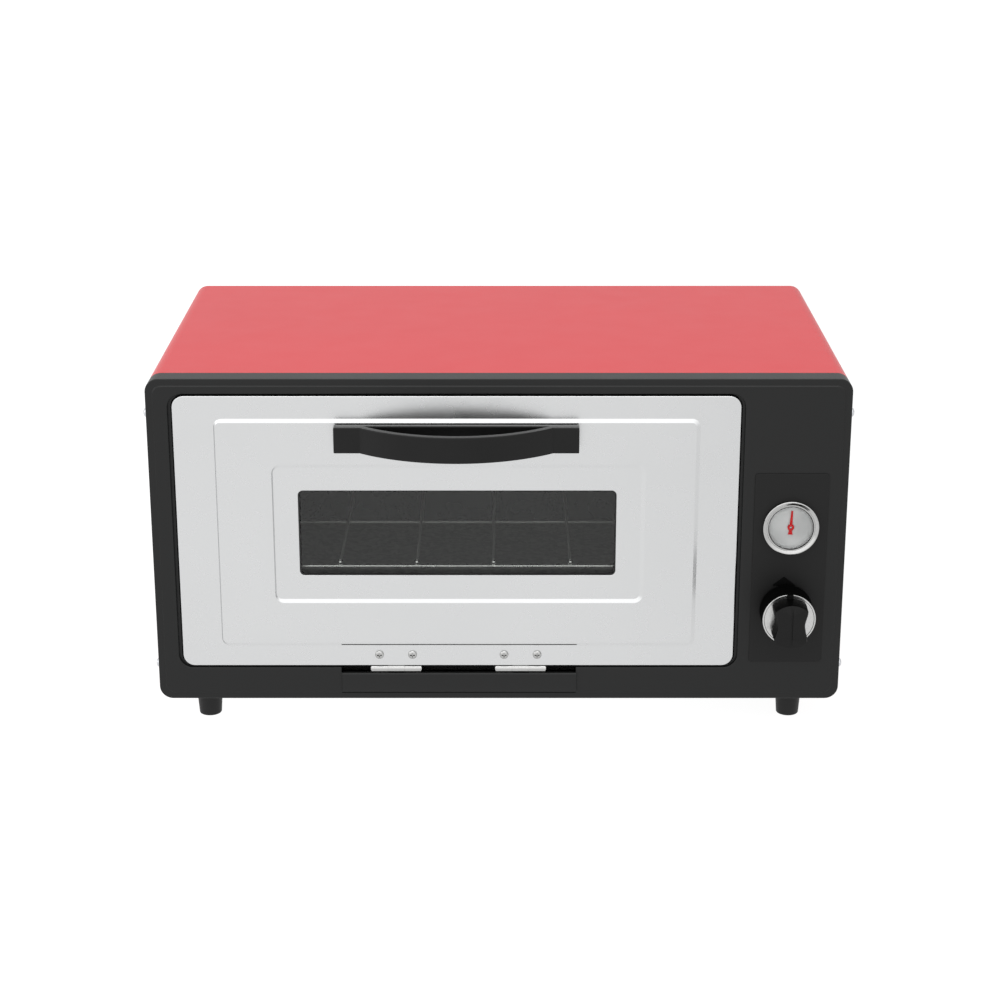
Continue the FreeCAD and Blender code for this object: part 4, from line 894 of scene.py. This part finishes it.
def build_knob():
    """Hollow skirt, hub, pointer rib and a waisted grip with a rounded crest."""
    rear, face, front = KNOB_REAR, DISC.y1, KNOB.y0
    wall = KNOB_R - 2.2
    skirt = [(6.5, KNOB.y1), (6.5, rear - 12), (wall, rear - 12), (wall, rear), (KNOB_R - 0.9, rear)]
    skirt += arc_profile(KNOB_R - 0.9, rear - 0.9, 0.9, -80, 0, 5)
    skirt += arc_profile(KNOB_R - 0.8, face + 0.8, 0.8, 10, 90, 5)
    bm = bmesh.new()
    add_loops(bm, turned_loops(skirt, KNOB_X, KNOB_Z, 128), caps=(True, True))

    joined = bmesh.new()
    levels = (
        (face + 1.0, GRIP_END, GRIP_WAIST), (front + 3.4, 14.5, 12.0), (front + 2.6, 14.3, 11.8),
        (front + 2.1, 13.9, 11.4), (front + 1.8, 13.2, 10.7),
    )
    loops = [[(x, y, z) for x, z in grip_points(end, waist)] for y, end, waist in levels]
    low, high = KNOB_Z - CREST_HALF, KNOB_Z + CREST_HALF
    loops.append([(KNOB_X, front, max(min(z, high), low)) for _, _, z in loops[-1]])
    add_loops(joined, loops, caps=(True, False))
    add_box(joined, KNOB_X - RIB_HALF, KNOB_X + RIB_HALF, DISC.y0 - 0.3, face + 1,
            KNOB_Z + RIB_LOW, KNOB_Z + KNOB_R - 0.15)
    groove = bmesh.new()
    reach = GRIP_R + 2
    add_box(groove, KNOB_X - 0.9, KNOB_X + 0.9, front - 1, front + 1.2, KNOB_Z - reach, KNOB_Z + reach)
    knob = piece("knob_body", bm, "black_phenolic", "knob", ("control_knob",), joined=joined, cutter=groove,
                 sharp=30, finish=KNOB_FINISH)
    # Sideways faces take the darker copy: painted shade on the grip's walls.
    knob.data.materials.append(KNOB_SIDES_SHADED)
    for polygon in knob.data.polygons:
        polygon.material_index = 1 if abs(polygon.normal.y) < 0.6 else 0
    return knob


def build_knob_disc():
    """Silver disc with a raised rim, cut out round the grip and the pointer rib."""
    radius, y0, y1 = KNOB_R - 0.1, DISC.y0, DISC.y1
    profile = [(radius, y1), (radius, y0 + 0.4)]
    profile += arc_profile(radius - 0.4, y0 + 0.4, 0.4, 20, 90, 4)
    profile += [(radius - 1.3, y0), (radius - 1.7, y0 + 0.35)]
    bm, cutter = bmesh.new(), bmesh.new()
    add_loops(bm, turned_loops(profile, KNOB_X, KNOB_Z, 128), caps=(True, True))
    front, behind = y0 - 2, y1 + 2
    add_plate(cutter, grip_points(GRIP_END, GRIP_WAIST, 0.12), front, behind)
    side = RIB_HALF + 0.06
    add_box(cutter, KNOB_X - side, KNOB_X + side, front, behind, KNOB_Z + RIB_LOW, KNOB_Z + KNOB_R + 3)
    return piece("knob_disc", bm, "chrome_trim", "knob", ("knob_ring",), cutter=cutter, sharp=38)


def build_spindle_spring():
    """Coil spring behind the knob, which shortens as the knob is pushed in."""
    s = span("spindle_spring")
    wire, turns, steps, sides = 0.5, 4, 128, 12
    coil = (s.x1 - s.x0) / 2 - wire
    x, z = middle("valve_spindle")
    loops = []
    for k in range(steps + 1):
        angle = 2 * math.pi * turns * k / steps
        y = s.y0 + wire + (s.y1 - s.y0 - 2 * wire) * k / steps
        loop = []
        for side in range(sides):
            around = 2 * math.pi * side / sides
            r = coil + wire * math.cos(around)
            point = (x + r * math.cos(angle), y + wire * math.sin(around), z + r * math.sin(angle))
            loop.append(point)
        loops.append(loop)
    bm = bmesh.new()
    add_loops(bm, loops, caps=(True, True))
    spring = piece("spindle_coil", bm, "spring_steel", "cabinet", ("spindle_spring",), sharp=60)
    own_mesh(spring)
    return spring


# ---------------------------------------------------------------- rack

WIRES = span("rack_wires")
WIRE_PITCH = 69.4
WIRE_COUNT = 6
WIRE_R = 1.25
TIP_R = 2.7
TIP_STEPS = 10


def build_wire_tips():
    """Rounded ends where the rack's wires turn up over its front rail, in the brightest chrome as painted
    highlight.
    """
    bm = bmesh.new()
    middle_x = (WIRES.x0 + WIRES.x1) / 2
    angles = [math.radians(-55 + 140 * k / TIP_STEPS) for k in range(TIP_STEPS + 1)]
    profile = [(TIP_R * math.cos(a), WIRES.z1 - TIP_R + TIP_R * math.sin(a)) for a in angles]
    for k in range(WIRE_COUNT):
        x = middle_x + (k - (WIRE_COUNT - 1) / 2) * WIRE_PITCH
        add_loops(bm, upright_loops(profile, x, WIRES.y0 + WIRE_R, 24), caps=(True, True))
    return piece("rack_wire_tips", bm, "chromed_wire", "rack", sharp=50, finish=TIP_LIT_FINISH)


# ---------------------------------------------------------------- build all

for node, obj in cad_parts.items():
    slots = obj.data.materials
    for index, slot_material in enumerate(slots):
        slots[index] = FINISH[slot_material.name]
# The rail's brighter chrome is a painted highlight.
own_finishes = {"rack_wires": WIRE_FINISH, "rack_frame": RAIL_LIT_FINISH, "knob_mark": MARK_FINISH}
for node, finish in own_finishes.items():
    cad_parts[node].data.materials[0] = finish

build_door_skin()
build_front_frame()
build_wrapper()
build_handle()
build_all_screws()
build_hinge_strip()
build_feet()
build_bezel()
build_needle_pin()
build_control_plate()
build_knob()
build_knob_disc()
build_spindle_spring()
build_wire_tips()


# ---------------------------------------------------------------- studio

FLOOR_HALF = 30.0
CAMERA_LENS = 80.297
CAMERA_TILT = 71.422
CAMERA_X = 0.0010
CAMERA_BACK = 1.8776
CAMERA_Z = 0.85103


def build_floor():
    """Plain white floor that glows, a little less to the right, so that its shadows stay faint."""
    bm = bmesh.new()
    bmesh.ops.create_grid(bm, x_segments=1, y_segments=1, size=FLOOR_HALF)
    mesh = bpy.data.meshes.new("studio_floor")
    bm.to_mesh(mesh)
    bm.free()
    floor = bpy.data.objects.new("studio_floor", mesh)
    bpy.context.scene.collection.objects.link(floor)
    mat, tree, shader = new_material("studio_white")
    shader.inputs["Base Color"].default_value = (0.10, 0.10, 0.10, 1)
    shader.inputs["Roughness"].default_value = 0.9
    shader.inputs["Specular IOR Level"].default_value = 0.0
    shader.inputs["Emission Color"].default_value = (1, 1, 1, 1)
    place = tree.nodes.new("ShaderNodeTexCoord")
    split = tree.nodes.new("ShaderNodeSeparateXYZ")
    tree.links.new(place.outputs["Object"], split.inputs["Vector"])
    glow = spread(tree, split.outputs["X"], 1.02, 0.92, 0.05, 0.42)
    tree.links.new(glow, shader.inputs["Emission Strength"])
    mesh.materials.append(mat)


def build_light(name, location, target, size, radiance):
    """A soft rectangular lamp of a given brightness."""
    data = bpy.data.lights.new(name, "AREA")
    data.shape = "RECTANGLE"
    data.size, data.size_y = size
    data.energy = radiance * math.pi * size[0] * size[1]
    lamp = bpy.data.objects.new(name, data)
    lamp.location = location
    lamp.rotation_euler = (Vector(target) - Vector(location)).to_track_quat("-Z", "Y").to_euler()
    bpy.context.scene.collection.objects.link(lamp)


def build_camera():
    """Camera straight in front of the oven, looking down on it a little."""
    data = bpy.data.cameras.new("camera")
    data.lens = CAMERA_LENS
    data.sensor_width = 36.0
    data.clip_end = 100.0
    camera = bpy.data.objects.new("camera", data)
    camera.location = (CAMERA_X, FACE - CAMERA_BACK, CAMERA_Z)
    camera.rotation_euler = (math.radians(CAMERA_TILT), 0, 0)
    bpy.context.scene.collection.objects.link(camera)
    bpy.context.scene.camera = camera


def build_world():
    """Surroundings that are pale grey behind the oven and brighter in front and above."""
    world = bpy.data.worlds.new("studio")
    world.use_nodes = True
    tree = world.node_tree
    place = tree.nodes.new("ShaderNodeTexCoord")
    split = tree.nodes.new("ShaderNodeSeparateXYZ")
    tree.links.new(place.outputs["Generated"], split.inputs["Vector"])
    height = spread(tree, split.outputs["Z"], 0.72, 1.15, 0.15, 0.75)
    front = spread(tree, split.outputs["Y"], 0.75, 0.0, -0.75, -0.10)
    left = spread(tree, split.outputs["X"], 0.18, -0.10, -0.8, 0.8)
    total = height
    for share in (front, left):
        add = tree.nodes.new("ShaderNodeMath")
        tree.links.new(total, add.inputs[0])
        tree.links.new(share, add.inputs[1])
        total = add.outputs[0]
    background = tree.nodes["Background"]
    background.inputs["Color"].default_value = (1, 1, 1, 1)
    tree.links.new(total, background.inputs["Strength"])
    bpy.context.scene.world = world


def build_studio():
    """Soft surroundings, a soft lamp overhead and one at the left."""
    bpy.context.scene.view_settings.view_transform = "Standard"
    build_world()
    build_light("overhead", (0, FACE - 0.45, 1.75), (0, FACE, 0.2), (1.8, 0.8), 1.6)
    build_light("left_side", (-1.8, FACE - 0.6, 0.9), (0, FACE, 0.2), (0.8, 1.2), 1.2)


build_floor()
build_studio()
build_camera()
